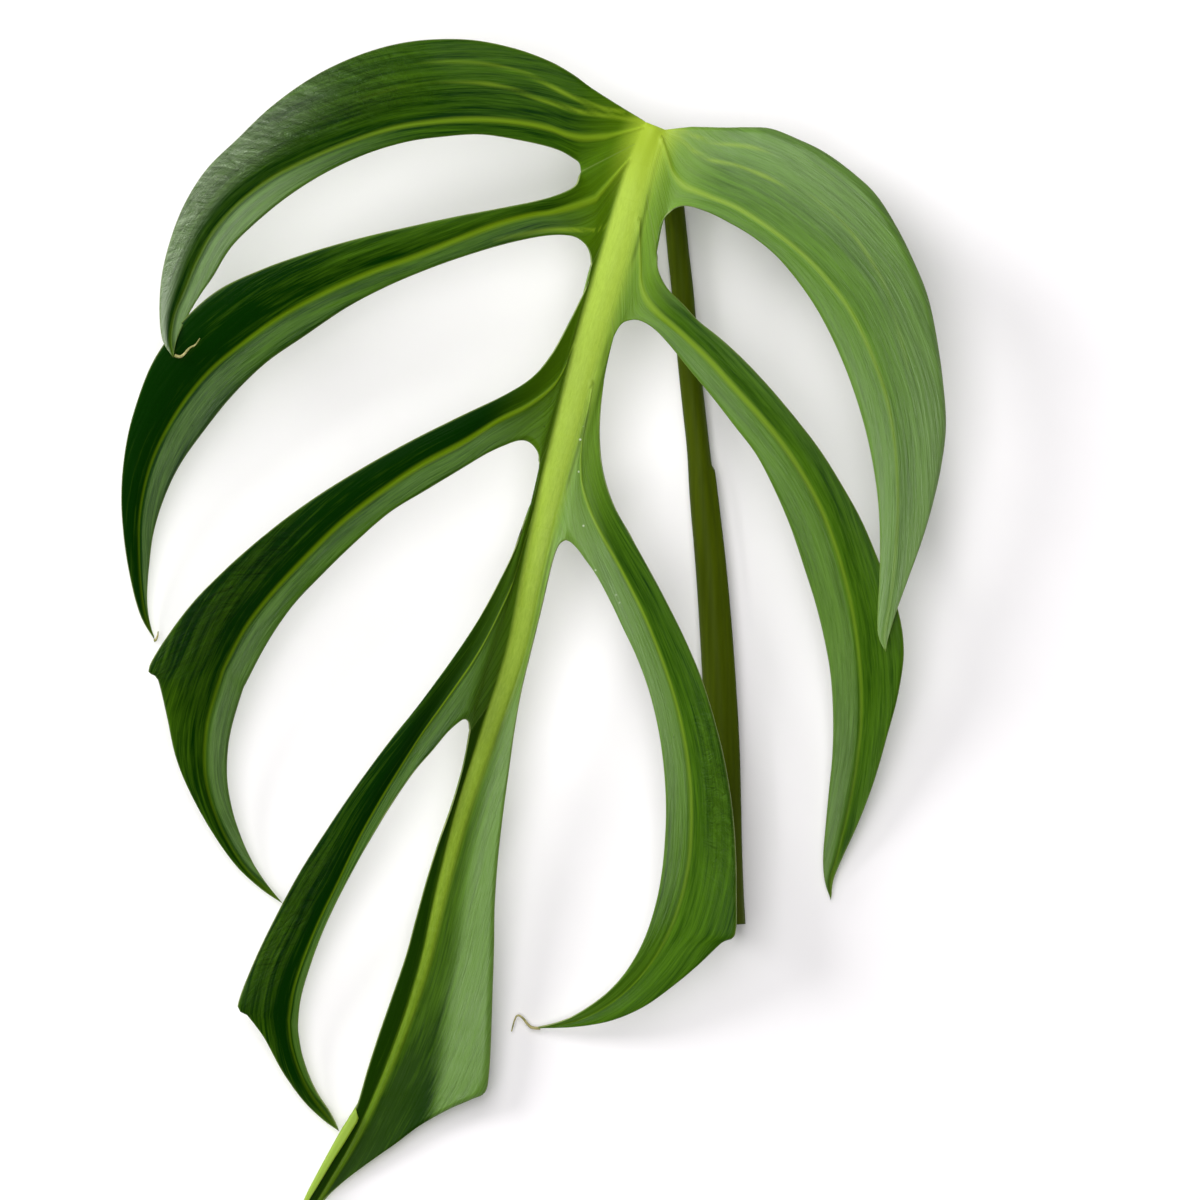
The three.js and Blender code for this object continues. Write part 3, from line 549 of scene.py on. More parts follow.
def build_lobe(sheet, edges, number, lobe, side, before, after):
    cross = lobe_station_points(lobe, before, after)
    root = np.array([before["from"], lobe["leaves"], after["from"]], float)
    web_rows = [-1 + i / WEB_ROWS for i in range(WEB_ROWS)]
    rows_at = np.array(web_rows + finer(np.hypot(*(b - a)[:, :2].T).max() for a, b in zip(cross, cross[1:])))
    at = np.maximum(rows_at, 0)
    margins = [through(cross[:, 0], at), through(cross[:, 2], at)]
    vein = through(cross[:, 1], at)
    folds = [fold_width(margin, vein) for margin in margins]
    run = plan_run(vein)
    total = run[-1] + math.dist(vein[-1][:2], cross[-1, 0][:2])

    outer_shares = -(np.linspace(1, 0, OUTER_COLUMNS + 1) ** COLUMN_SPREAD)
    inner_shares = np.linspace(0, 1, INNER_COLUMNS + 1)[1:] ** COLUMN_SPREAD
    shares = np.concatenate([outer_shares, inner_shares])
    columns, rib_places = [], []
    for share in shares:
        which = 0 if share < 0 else 1
        f = abs(share)
        width = np.hypot(*(margins[which] - vein)[:, :2].T)
        point = vein + (margins[which] - vein) * f
        camber = lobe["camber"][which] * smooth_step(*CAMBER_FROM.get(number, FROM_THE_ROOT), run)
        point[:, 2] += folds[which] * camber * math.sin(math.pi * f)
        web = np.clip(-rows_at, 0, 1)[:, None]
        rib_places.append(root[1] + (root[0 if share < 0 else 2] - root[1]) * f)
        point = point * (1 - web) + rib_side(rib_places[-1], side) * web
        columns.append((point, marks_of(share * width, (1 - f) * width, run, total, number)))
    rows = sheet.lay(number, columns, cross[-1, 0], (0, 0, total, 1, number), side)
    for k, along in enumerate(rib_places):
        if k > 0 or not edges[side]:
            edges[side].append((rows[0][k], along))


def build_end_half(sheet, edges, half, side, border):
    """Half of the end lobe, between the midrib's edge and its own margin."""
    stations = [[border["from"], *border["foot"]]]
    for along, x, y in half["stations"]:
        edge = rib_side(along, side)[0]
        stations.append([along, x, y, edge[2] + half["rise"] * min(math.dist(edge[:2], (x, y)), WIDEST_FOLD)])
    tip = rib_at(RIB_LENGTH)[0]
    stations = np.array([*stations, [RIB_LENGTH, *tip]], float)
    line = through(stations, finer(max(math.dist(a[1:3], b[1:3]), b[0] - a[0])
                                   for a, b in zip(stations, stations[1:])))
    along, outer = line[:, 0], line[:, 1:]
    inner = rib_side(along, side)
    width = np.hypot(*(outer - inner)[:, :2].T)
    columns = []
    for k in range(WEB_ROWS + 1):
        f = k / WEB_ROWS
        point = inner + (outer - inner) * f
        lift = np.minimum(width, WIDEST_FOLD) * half["camber"] * math.sin(math.pi * f)
        lift[0] = 0
        point[:, 2] += lift
        columns.append((point, marks_of(side * f * width, (1 - f) * width, along, RIB_LENGTH, END_GROUP)))
    if half.get("roll"):
        roll = half["roll"] * smooth_step(*ROLL_STARTS, along) * (1 - smooth_step(*ROLL_ENDS, along))
        radius = ROLL_RADIUS * roll
        outward = (outer - inner)[:, :2] / np.maximum(width, 0.1)[:, None]
        for turn in ROLL_TURNS:
            point = outer.copy()
            reach = radius * math.sin(turn) - np.maximum(turn - 1.57, 0) * roll * 1.3
            point[:, :2] += outward * reach[:, None]
            point[:, 2] += radius * (1 - math.cos(turn))
            columns.append((point, marks_of(side * width, 0, along, RIB_LENGTH, END_GROUP)))
    rows = sheet.lay(END_GROUP, columns, tip, (0, 0, RIB_LENGTH, 1, END_GROUP), -side)
    edges[side] += [(row[0], place) for row, place in zip(rows[1:], [*along[1:], RIB_LENGTH])]


def grow_sheet():
    """The whole upper face: the lobes, the two halves of the end lobe and the midrib's crown between them."""
    sheet = Sheet()
    edges = {-1: [], 1: []}
    number = 0
    halves = (-1, "left", LEFT_LOBES, LEFT_SPLITS), (1, "right", RIGHT_LOBES, RIGHT_SPLITS)
    for side, half, lobes, splits in halves:
        for lobe, before, after in zip(lobes, [{"from": 0}, *splits], splits):
            build_lobe(sheet, edges, number, lobe, side, before, after)
            number += 1
        build_end_half(sheet, edges, END_LOBE[half], side, splits[-1])
    tip = sheet.place(rib_at(RIB_LENGTH)[0], (FAR, FAR, RIB_LENGTH, 1, MIDRIB_GROUP))
    lines = [edges[-1]]
    alongs = np.linspace(0, RIB_LENGTH, RIB_ROWS)
    for share in CROWN_SHARES:
        line = []
        for point, along in zip(rib_side(alongs, share)[:-1], alongs):
            marks = (FAR, FAR, along, along / RIB_LENGTH, MIDRIB_GROUP)
            line.append((sheet.place(point, marks), along))
        lines.append([*line, (tip, RIB_LENGTH)])
    lines.append(edges[1])
    for left, right in zip(lines, lines[1:]):
        sheet.zip_lines(MIDRIB_GROUP, left, right)
    return sheet


def spread(values, faces, hold, rounds):
    """Evens out values over neighbouring points, hold saying how much at each point."""
    ends = np.concatenate([faces[:, [0, 1]], faces[:, [1, 2]], faces[:, [2, 0]]])
    ends = np.concatenate([ends, ends[:, ::-1]])
    count = np.maximum(np.bincount(ends[:, 0], minlength=len(values)), 1)
    for _ in range(rounds):
        mean = np.bincount(ends[:, 0], weights=values[ends[:, 1]], minlength=len(values)) / count
        values = values + hold * 0.6 * (mean - values)
    return values


def point_normals(points, faces):
    a, b, c = (points[faces[:, k]] for k in range(3))
    cross = np.cross(b - a, c - a)
    normals = np.zeros_like(points)
    for k in range(3):
        np.add.at(normals, faces[:, k], cross)
    return normals / np.maximum(np.linalg.norm(normals, axis=1), 1e-12)[:, None]


def side_vein_marks(points, faces, groups):
    """For each corner, the distance to its lobe's nearest side vein and the share of the way along it."""
    gaps = np.full((len(faces), 3), FAR)
    shares = np.zeros((len(faces), 3))
    for number, line in SIDE_VEINS:
        curve = through(line, np.linspace(0, len(line) - 1, 60))
        mine = groups == number
        corners = faces[mine]
        gap, where = line_distance(points[corners.ravel()], curve)
        gap = np.abs(gap).reshape(-1, 3)
        where = where.reshape(-1, 3) / plan_run(curve)[-1]
        nearer = gap < gaps[mine]
        shares[mine] = np.where(nearer, where, shares[mine])
        gaps[mine] = np.where(nearer, gap, gaps[mine])
    return gaps.ravel(), shares.ravel()


def strip_values(table, corners):
    """A value for each corner, from the row of its lobe in PALENESS_AND_PAINTED_SHADE or WAX_AND_PAINTED_SHEEN."""
    vein, lobe = corners[:, 0], corners[:, 4].astype(int)
    rows = np.array(table)[lobe]
    rows = rows[:, 0] + (rows[:, 1] - rows[:, 0]) * smooth_step(*ROOT_TO_TIP, corners[:, 3])[:, None]
    width = np.abs(vein) + corners[:, 1]
    out_share = smooth_step(*VEIN_TO_OUTER, np.abs(vein) / np.maximum(width, 1))
    outer = rows[:, 1] + (rows[:, 0] - rows[:, 1]) * out_share
    inner = rows[:, 1] + (rows[:, 2] - rows[:, 1]) * smooth_step(*VEIN_TO_INNER, vein)
    return np.where(vein < 0, outer, inner)


def skin_marks(points, faces, corners, rib_gap, rib_along):
    """How pale and how waxy the skin is at each point, the paleness partly painted light and shade, evened out
    where the lobes join beside the midrib.
    """
    vein, lobe, along = corners[:, 0], corners[:, 4].astype(int), corners[:, 2]
    pale, wax = strip_values(PALENESS_AND_PAINTED_SHADE, corners), strip_values(WAX_AND_PAINTED_SHEEN, corners)

    # On the end lobe's right half a wedge of painted shade, deeper green with less wax, widens from the midrib
    # towards the tip.
    right_half = (lobe == END_GROUP) & (vein > 0)
    edge = np.interp(along, *SHADE_WEDGE_EDGE)
    beyond = smooth_step(edge - 2.5, edge + 2.0, vein)
    deep = 0.34 - 0.4 * smooth_step(215, 255, along)
    pale = np.where(right_half, deep + (0.94 - deep) * beyond, pale)
    wax = np.where(right_half, 0.15 + 1.25 * beyond, wax)
    hold = (1 - smooth_step(7, 17, np.abs(rib_gap))) * (1 - smooth_step(80, 150, rib_along))
    evened = []
    for values in (pale, wax):
        total = np.bincount(faces.ravel(), weights=values, minlength=len(points))
        mean = total / np.maximum(np.bincount(faces.ravel(), minlength=len(points)), 1)
        evened.append(spread(mean, faces, hold, 50))
    return evened


def wrinkle_marks(corners):
    """How wrinkled each corner is: only on the outer strips that the table lists, and not beside the vein."""
    marks = np.zeros(len(corners))
    for number, (start, end) in WRINKLED.items():
        along = corners[:, 2]
        place = smooth_step(start, start + WRINKLE_FADE, along)
        place = place * (1 - smooth_step(end - WRINKLE_FADE, end, along)) * smooth_step(2, 7, -corners[:, 0])
        marks = np.where(corners[:, 4] == number, place, marks)
    return marks


def blade_arrays(settings):
    """Points, triangles, material numbers and marks of the finished blade, in mm from its base."""
    sheet = grow_sheet()
    points = np.array(sheet.points)
    faces = np.array(sheet.faces)
    groups = np.array(sheet.groups)
    corners = sheet.corner_marks()
    rib_gap, rib_along = line_distance(points, RIB_LINE[::6])
    half = rib_half_width(rib_along)
    points[:, 2] = spread(points[:, 2], faces, 1 - smooth_step(9, 22, np.abs(rib_gap)), 60)

    # The nearest main vein of any lobe, and how far out along the lobe each point is.
    vein_near = np.full(len(points), FAR)
    outward = np.zeros(len(points))
    on_lobe = corners[:, 4] < END_GROUP
    np.minimum.at(vein_near, faces.ravel()[on_lobe], np.abs(corners[on_lobe, 0]))
    np.maximum.at(outward, faces.ravel(), corners[:, 3])

    # The midrib's crown stands up a little and a shallow groove runs along each side of it.
    across = np.abs(rib_gap) / np.maximum(half, 0.3)
    fade = 1 - rib_along / RIB_LENGTH
    crown = np.where(across < 1, 0.5 + 0.5 * np.cos(math.pi * np.clip(across, 0, 1)), 0)
    points[:, 2] += crown * (CROWN_AT_TIP + CROWN_GAIN * fade)
    groove = np.exp(-((across - 1.25) / 0.35) ** 2)
    points[:, 2] -= groove * GROOVE_DEPTH * (0.3 + fade)

    # Each main vein is a low ridge above and a stronger one below, as the midrib is.
    points[:, 2] += VEIN_ABOVE * np.exp(-(vein_near / 0.75) ** 2) * (1 - outward)
    below = points - point_normals(points, faces) * settings.sheet_thickness / MM
    below[:, 2] -= VEIN_BELOW * np.exp(-(vein_near / 1.1) ** 2) * (1 - outward)
    rib_below = np.cos(np.clip(across / RIB_REACH, 0, 1) * math.pi / 2) ** 0.7
    below[:, 2] -= np.where(across < RIB_REACH, rib_below, 0) * (RIB_BELOW_AT_TIP + RIB_BELOW_GAIN * fade)
    count = len(points)

    directed = {(a, b) for f in faces.tolist() for a, b in ((f[0], f[1]), (f[1], f[2]), (f[2], f[0]))}
    rim = sorted((a, b) for a, b in directed if (b, a) not in directed)
    sides = [[b, a, a + count] for a, b in rim] + [[b, a + count, b + count] for a, b in rim]
    all_faces = np.concatenate([faces, faces[:, ::-1] + count, np.array(sides)])
    slots = np.concatenate([np.zeros(len(faces), int), np.ones(len(faces), int), np.full(len(sides), 2)])

    gaps, shares = side_vein_marks(points, faces, groups)
    by_corner = {
        "vein_mm": corners[:, 0], "margin_mm": corners[:, 1], "along_mm": corners[:, 2],
        "along_share": corners[:, 3], "lobe": corners[:, 4], "side_vein_mm": gaps, "side_vein_share": shares,
        "wrinkle": wrinkle_marks(corners),
    }
    for name, values in by_corner.items():
        turned = values.reshape(-1, 3)[:, ::-1].ravel()
        by_corner[name] = np.concatenate([values, turned, np.zeros(3 * len(sides))])
    pale, wax = skin_marks(points, faces, corners, rib_gap, rib_along)
    by_point = {
        "rib_mm": rib_gap, "rib_half_mm": half, "rib_along_mm": rib_along, "paleness_and_painted_shade": pale, "wax": wax}
    by_point = {name: np.concatenate([values, values]) for name, values in by_point.items()}
    return np.concatenate([points, below]), all_faces, slots, by_corner, by_point


def mesh_object(name, points, faces, slots=None, by_corner=None, by_point=None):
    """A piece from points in metres, with its marks kept as attributes for the materials."""
    mesh = bpy.data.meshes.new(name)
    mesh.from_pydata(points.tolist(), [], faces.tolist() if hasattr(faces, "tolist") else faces)
    if slots is not None:
        mesh.polygons.foreach_set("material_index", np.asarray(slots, np.int32))
    for domain, marks in (("CORNER", by_corner or {}), ("POINT", by_point or {})):
        for title, values in marks.items():
            attribute = mesh.attributes.new(title, "FLOAT", domain)
            attribute.data.foreach_set("value", np.asarray(values, np.float32))
    mesh.polygons.foreach_set("use_smooth", np.ones(len(mesh.polygons), bool))
    mesh.update()
    piece = bpy.data.objects.new(name, mesh)
    bpy.context.scene.collection.objects.link(piece)
    return piece


def to_row(points):
    """From mm around the blade's base to metres in the row's frame."""
    high = np.array(BLADE_BOX[1])
    offset = np.array([high[0] / MM - RIGHT_SIDE, high[1] / MM - TOP_SIDE, 0.0])
    return (np.asarray(points) + offset) * MM


def add_node(tree, kind, inputs=(), output=0, **settings):
    """Adds a node with its settings, values and links, and gives the socket it is read by."""
    node = tree.nodes.new(kind)
    for name, value in settings.items():
        setattr(node, name, value)
    pairs = inputs.items() if isinstance(inputs, dict) else enumerate(inputs)
    for key, value in pairs:
        if isinstance(value, bpy.types.NodeSocket):
            tree.links.new(value, node.inputs[key])
        elif value is not None:
            node.inputs[key].default_value = value
    return node.outputs[output]


def mark(tree, name):
    """Reads one of the marks that the blade's mesh carries."""
    return add_node(tree, "ShaderNodeAttribute", output="Fac", attribute_name=name)


def calc(tree, operation, *values, clamp=False):
    """A sum, a product or another operation, kept within 0 and 1 at its end if clamp is set."""
    if operation in ("ADD", "MULTIPLY"):
        while len(values) > 2:
            values = (calc(tree, operation, *values[:2]), *values[2:])
    return add_node(tree, "ShaderNodeMath", values, operation=operation, use_clamp=clamp)


def ramp(tree, value, low, high, at_low, at_high, smooth=False):
    """Leads from at_low to at_high while the value goes from low to high."""
    kind = "SMOOTHSTEP" if smooth else "LINEAR"
    return add_node(tree, "ShaderNodeMapRange", [value, low, high, at_low, at_high], interpolation_type=kind)


def swing(tree, value, reach):
    """Turns a noise around 0.5 into a shift of up to reach to both sides."""
    return ramp(tree, value, 0.3, 0.7, -reach, reach)


def noise(tree, place, scale, detail=2.0, roughness=0.5, distortion=0.0):
    return add_node(tree, "ShaderNodeTexNoise", {
        "Vector": place, "Scale": scale, "Detail": detail, "Roughness": roughness, "Distortion": distortion})


def blend(tree, share, first, second):
    """Mixes two colours, each a link or an sRGB hex code."""
    first, second = (srgb(colour) if isinstance(colour, str) else colour for colour in (first, second))
    return add_node(tree, "ShaderNodeMix", {0: share, 6: first, 7: second}, 2, data_type="RGBA")


def spots(tree, place, scale, inner, outer, strength, rarity):
    """Small round spots in some of the cells, the rarity being the share of cells without one."""
    gap = add_node(tree, "ShaderNodeTexVoronoi", {"Vector": place, "Scale": scale})
    cell = add_node(tree, "ShaderNodeTexVoronoi", {"Vector": place, "Scale": scale}, "Color")
    picked = calc(tree, "GREATER_THAN", cell, rarity)
    return calc(tree, "MULTIPLY", ramp(tree, gap, inner, outer, strength, 0.0), picked)


def relief(tree, strength, distance, height, under=None):
    """A bump of a height in mm, laid over another one if that is given."""
    return add_node(tree, "ShaderNodeBump", {
        "Strength": strength, "Distance": distance * MM, "Height": height, "Normal": under})


def new_material(name):
    """A new material with its node tree and its main shader."""
    material = bpy.data.materials.new(name)
    material.use_nodes = True
    return material, material.node_tree, material.node_tree.nodes["Principled BSDF"]


def mottled_material(name, dark, light, roughness, scale, detail, low, stretch=None):
    """A new material whose colour wanders between two. Gives its tree, shader and noise as well."""
    material, tree, shader = new_material(name)
    place = add_node(tree, "ShaderNodeTexCoord", output="Object")
    if stretch:
        place = add_node(tree, "ShaderNodeMapping", {"Vector": place, **stretch})
    grain = noise(tree, place, scale, detail)
    colour = blend(tree, ramp(tree, grain, low, 1.0 - low, 0.0, 1.0), dark, light)
    tree.links.new(colour, shader.inputs["Base Color"])
    shader.inputs["Roughness"].default_value = roughness
    return material, tree, shader, grain


def waxy_leaf_skin():
    """Cuticle over a living leaf: smooth, waxy, deep green between paler veins, streaked along each lobe."""
    material, tree, shader = new_material("waxy_leaf_skin")
    vein, margin, along, share, lobe = (
        mark(tree, name) for name in ("vein_mm", "margin_mm", "along_mm", "along_share", "lobe"))
    rib, rib_half, rib_along = (mark(tree, name) for name in ("rib_mm", "rib_half_mm", "rib_along_mm"))
    side_vein, side_share = (mark(tree, name) for name in ("side_vein_mm", "side_vein_share"))
    paleness_and_painted_shade, wax, wrinkle = (mark(tree, name) for name in ("paleness_and_painted_shade", "wax", "wrinkle"))
    rib_gap = calc(tree, "ABSOLUTE", rib)

    # Streaks 1 to 2 mm apart that run along the lobe for a few centimetres, and finer fibres between them.
    seed = calc(tree, "MULTIPLY", lobe, 17.0)
    flow = add_node(tree, "ShaderNodeCombineXYZ", [vein, calc(tree, "MULTIPLY", along, 0.04), seed])
    streaks = noise(tree, flow, 0.85, detail=4.0, roughness=0.7)
    patches = noise(tree, flow, 0.2)
    fibres = noise(tree, flow, 3.2, roughness=0.6)
    # The tone starts from the paleness marks, which paint light and shade as well as the leaf's own tone.
    tone = calc(tree, "ADD", paleness_and_painted_shade, swing(tree, streaks, 0.24), swing(tree, fibres, 0.1),
                swing(tree, patches, 0.12), clamp=True)
    colour = blend(tree, tone, "#072a01", "#517a10")

    # A thin grey painted sheen on the waxiest strips, broken up by uneven slanting creases.
    slant = add_node(tree, "ShaderNodeCombineXYZ", [
        calc(tree, "MULTIPLY", calc(tree, "ADD", vein, along), 0.42),
        calc(tree, "MULTIPLY", calc(tree, "SUBTRACT", along, vein), 0.15), seed])
    creases = noise(tree, slant, 0.8, detail=5.0, roughness=0.66, distortion=1.6)
    creases = calc(tree, "MULTIPLY", calc(tree, "SUBTRACT", creases, 0.5), wrinkle)
    painted_sheen = ramp(tree, wax, 0.7, 2.7, 0.0, 0.19)
    painted_sheen = calc(tree, "MULTIPLY", painted_sheen, calc(tree, "MULTIPLY_ADD", creases, 4.5, 1.0), clamp=True)
    colour = blend(tree, painted_sheen, colour, "#b4c2a4")

    # Paler, yellower tissue near the midrib, strongest towards the blade's base and on the right.
    near = ramp(tree, rib_gap, 2.0, 22.0, 1.0, 0.0, smooth=True)
    halo = calc(tree, "MULTIPLY", near, ramp(tree, rib_along, 0.0, 170.0, 1.0, 0.1), 0.75)
    halo_side = ramp(tree, rib, -3.0, 3.0, 0.0, 1.0)
    colour = blend(tree, halo, colour, blend(tree, halo_side, "#759b28", "#557805"))

    # The side veins, thin and faint.
    side_line = ramp(tree, side_vein, 0.0, 1.0, 0.68, 0.0, smooth=True)
    side_line = calc(tree, "MULTIPLY", side_line, ramp(tree, side_share, 0.3, 1.0, 1.0, 0.12))
    colour = blend(tree, side_line, colour, "#7d9a1e")

    # The lobe's main vein, 2 mm wide at its root and half that further out, fading into the green.
    vein_place = calc(tree, "DIVIDE", calc(tree, "ABSOLUTE", vein), ramp(tree, share, 0.0, 0.7, 1.05, 0.5))
    vein_line = calc(tree, "MULTIPLY", ramp(tree, vein_place, 0.0, 1.5, 1.0, 0.0, smooth=True),
                     ramp(tree, share, 0.05, 0.9, 0.84, 0.22), calc(tree, "LESS_THAN", lobe, END_GROUP - 0.5))
    colour = blend(tree, vein_line, colour, blend(tree, paleness_and_painted_shade, "#6a8808", "#86a432"))

    # The midrib, pale, with a clear left edge and a soft right one, brightest where the petiole joins.
    rib_place = calc(tree, "DIVIDE", rib, rib_half)
    rib_band = calc(tree, "MINIMUM", ramp(tree, rib_place, 0.72, 1.2, 1.0, 0.0, smooth=True),
                    ramp(tree, rib_place, -1.7, -0.4, 0.0, 1.0, smooth=True))
    rib_band = calc(tree, "MULTIPLY", rib_band, ramp(tree, rib_along, 205.0, 262.0, 1.0, 0.35))
    rib_slow = calc(tree, "MULTIPLY", rib_along, 0.16)
    rib_flow = add_node(tree, "ShaderNodeCombineXYZ", [rib, rib_slow, 3.0])
    rib_grain = noise(tree, rib_flow, 2.6, detail=5.0, roughness=0.8)
    rib_patch = add_node(tree, "ShaderNodeCombineXYZ", [halo_side, rib_slow, 9.0])
    patches_along = noise(tree, rib_patch, 0.35, detail=1.0)
    rib_tone = calc(tree, "ADD", ramp(tree, rib_along, 10.0, 220.0, 0.96, 0.2), swing(tree, rib_grain, 0.17),
                    clamp=True)
    colour = blend(tree, rib_band, colour, blend(tree, rib_tone, "#5a7806", "#a6c046"))

    # Painted shade: a dark line on each side of the midrib, in the groove where the lobes' veins run in beside
    # it.
    groove_shade_place = calc(tree, "SUBTRACT", calc(tree, "DIVIDE", rib_gap, rib_half), 1.22)
    groove_shade = ramp(tree, calc(tree, "ABSOLUTE", groove_shade_place), 0.0, 0.22, 0.62, 0.0, smooth=True)
    groove_shade = calc(tree, "MULTIPLY", groove_shade, ramp(tree, patches_along, 0.42, 0.58, 0.1, 1.0))
    colour = blend(tree, groove_shade, colour, "#3f5a04")

    # The glow of the pale tissue at the blade's base.
    base_glow = calc(tree, "MULTIPLY", ramp(tree, rib_along, 0.0, 24.0, 1.0, 0.0, smooth=True),
                     ramp(tree, rib_gap, 1.0, 9.0, 1.0, 0.0, smooth=True))
    colour = blend(tree, base_glow, colour, "#a0b933")

    # A few tiny dark specks, about 0.4 mm across, in two of every five 11 mm cells.
    place = add_node(tree, "ShaderNodeTexCoord", output="Object")
    colour = blend(tree, spots(tree, place, 90.0, 0.012, 0.03, 0.75, 0.6), colour, "#1d2c08")

    # Tiny dry white specks on the inner strip of the third right lobe, near its crook.
    dust = calc(tree, "MULTIPLY", spots(tree, place, 620.0, 0.1, 0.22, 0.8, 0.66),
                calc(tree, "COMPARE", lobe, 6.0, 0.1), ramp(tree, vein, 1.5, 4.0, 0.0, 1.0),
                ramp(tree, along, 22.0, 46.0, 1.0, 0.0))
    colour = blend(tree, dust, colour, "#c9d4b8")

    # A fine pale line right on the margin.
    colour = blend(tree, ramp(tree, margin, 0.02, 0.4, 0.5, 0.0), colour, "#6f8240")
    tree.links.new(colour, shader.inputs["Base Color"])

    # The wax: its sheen 0.3 to 0.5 times the wax, broken up by the streaks and the fibres.
    shader.inputs["IOR"].default_value = 1.4
    tree.links.new(ramp(tree, streaks, 0.3, 0.7, 0.22, 0.34), shader.inputs["Roughness"])
    sheen = calc(tree, "MULTIPLY", ramp(tree, fibres, 0.3, 0.7, 0.3, 0.5), wax)
    tree.links.new(sheen, shader.inputs["Specular IOR Level"])

    # Fine ridges along the lobe, and the creases where the skin is wrinkled.
    ridges = relief(tree, 0.5, 0.3, noise(tree, flow, 1.5, detail=4.0, roughness=0.65))
    tree.links.new(relief(tree, 1.0, 1.7, creases, ridges), shader.inputs["Normal"])
    return material


def matte_leaf_underside():
    """The lower face: the same leaf without the wax, paler and yellower, with the veins standing out."""
    material, tree, shader = new_material("matte_leaf_underside")
    vein, rib, rib_half, rib_along = (
        mark(tree, name) for name in ("vein_mm", "rib_mm", "rib_half_mm", "rib_along_mm"))
    place = add_node(tree, "ShaderNodeTexCoord", output="Object")
    cells = noise(tree, place, 260.0, detail=4.0)
    colour = blend(tree, ramp(tree, cells, 0.3, 0.7, 0.0, 1.0), "#486a1a", "#5a7c28")
    line = ramp(tree, calc(tree, "ABSOLUTE", vein), 0.4, 1.4, 0.8, 0.0, smooth=True)
    colour = blend(tree, line, colour, "#88a347")
    rib_place = calc(tree, "DIVIDE", calc(tree, "ABSOLUTE", rib), rib_half)
    colour = blend(tree, ramp(tree, rib_place, 0.7, 1.4, 1.0, 0.0, smooth=True), colour, "#9db453")

    # The tissue is yellower towards the blade's tip, where the margin rolls over.
    colour = blend(tree, ramp(tree, rib_along, 235.0, 262.0, 0.0, 0.85), colour, "#86a414")
    tree.links.new(colour, shader.inputs["Base Color"])
    shader.inputs["Roughness"].default_value = 0.58
    tree.links.new(relief(tree, 0.2, 0.15, cells), shader.inputs["Normal"])
    return material


def pale_leaf_margin():
    """The blade's thin edge, where the skin thickens to a pale dry line."""
    return mottled_material("pale_leaf_margin", "#5d7a2c", "#8f9a5c", 0.55, 180.0, 3.0, 0.35)[0]


def fleshy_petiole_skin():
    """A smooth, firm green stalk with fine lines along it and a low sheen."""
    stretch = {"Rotation": (0, 0, math.radians(-4)), "Scale": (900, 30, 900)}
    material, tree, shader, lines = mottled_material(
        "fleshy_petiole_skin", "#384502", "#435104", 0.46, 1.0, 3.0, 0.3, stretch)
    shader.inputs["IOR"].default_value = 1.4
    shader.inputs["Specular IOR Level"].default_value = 0.05
    tree.links.new(relief(tree, 0.15, 0.2, lines), shader.inputs["Normal"])
    return material


def dried_plant_thread():
    """The withered end of a lobe: thin, tan and papery."""
    return mottled_material("dried_plant_thread", "#77793a", "#b3a872", 0.7, 900.0, 3.0, 0.35)[0]


def matte_white_board():
    """The table top: a matte white painted board."""
    return mottled_material("matte_white_board", "#f6f3f5", "#f8f5f7", 0.9, 40.0, 2.0, 0.3)[0]


def deselect_all():
    for piece in bpy.context.view_layer.objects:
        piece.select_set(False)
    bpy.context.view_layer.objects.active = None


class LeafBladeSettings(bpy.types.PropertyGroup):
    sheet_thickness: FloatProperty(
        name="Sheet thickness", description="Thickness of the blade between its veins",
        default=0.45 * MM, min=0.2 * MM, max=1.0 * MM, unit="LENGTH", precision=5)


class PetioleSettings(bpy.types.PropertyGroup):
    wing_width: FloatProperty(
        name="Wing width", description="How far the sheath's wings stand out on the lower petiole",
        default=0.8 * MM, min=0.0, max=2.0 * MM, unit="LENGTH", precision=5)


class DriedThreadSettings(bpy.types.PropertyGroup):
    thread_radius: FloatProperty(
        name="Thread radius", description="Radius of a withered thread where it leaves the tissue",
        default=0.42 * MM, min=0.1 * MM, max=1.0 * MM, unit="LENGTH", precision=5)


class StudioSettings(bpy.types.PropertyGroup):
    camera_height: FloatProperty(
        name="Camera height", description="Height of the camera above the table",
        default=2.4, min=0.5, max=5.0, unit="LENGTH")
    view_width: FloatProperty(
        name="View width", description="Width that the camera sees at the leaf",
        default=0.3, min=0.1, max=1.0, unit="LENGTH")
    softbox_width: FloatProperty(
        name="Softbox width", description="Width of the large softbox",
        default=2.2, min=0.2, max=6.0, unit="LENGTH")
    softbox_length: FloatProperty(
        name="Softbox length", description="Length of the large softbox",
        default=4.2, min=0.2, max=6.0, unit="LENGTH")
    softbox_height: FloatProperty(
        name="Softbox height", description="Height of the softbox above the leaf",
        default=2.6, min=0.5, max=6.0, unit="LENGTH")
    key_power: FloatProperty(
        name="Key light power", description="Power of the large softbox",
        default=95.0, min=0.0, max=900.0)
    side_power: FloatProperty(
        name="Side lamp power", description="Power of the lamp that casts the shadows",
        default=58.0, min=0.0, max=500.0)
    fill_strength: FloatProperty(
        name="Wall strength", description="Brightness of the pale walls",
        default=0.8, min=0.0, max=2.0)
    ceiling_strength: FloatProperty(
        name="Ceiling strength", description="Brightness of the dark ceiling",
        default=0.03, min=0.0, max=2.0)


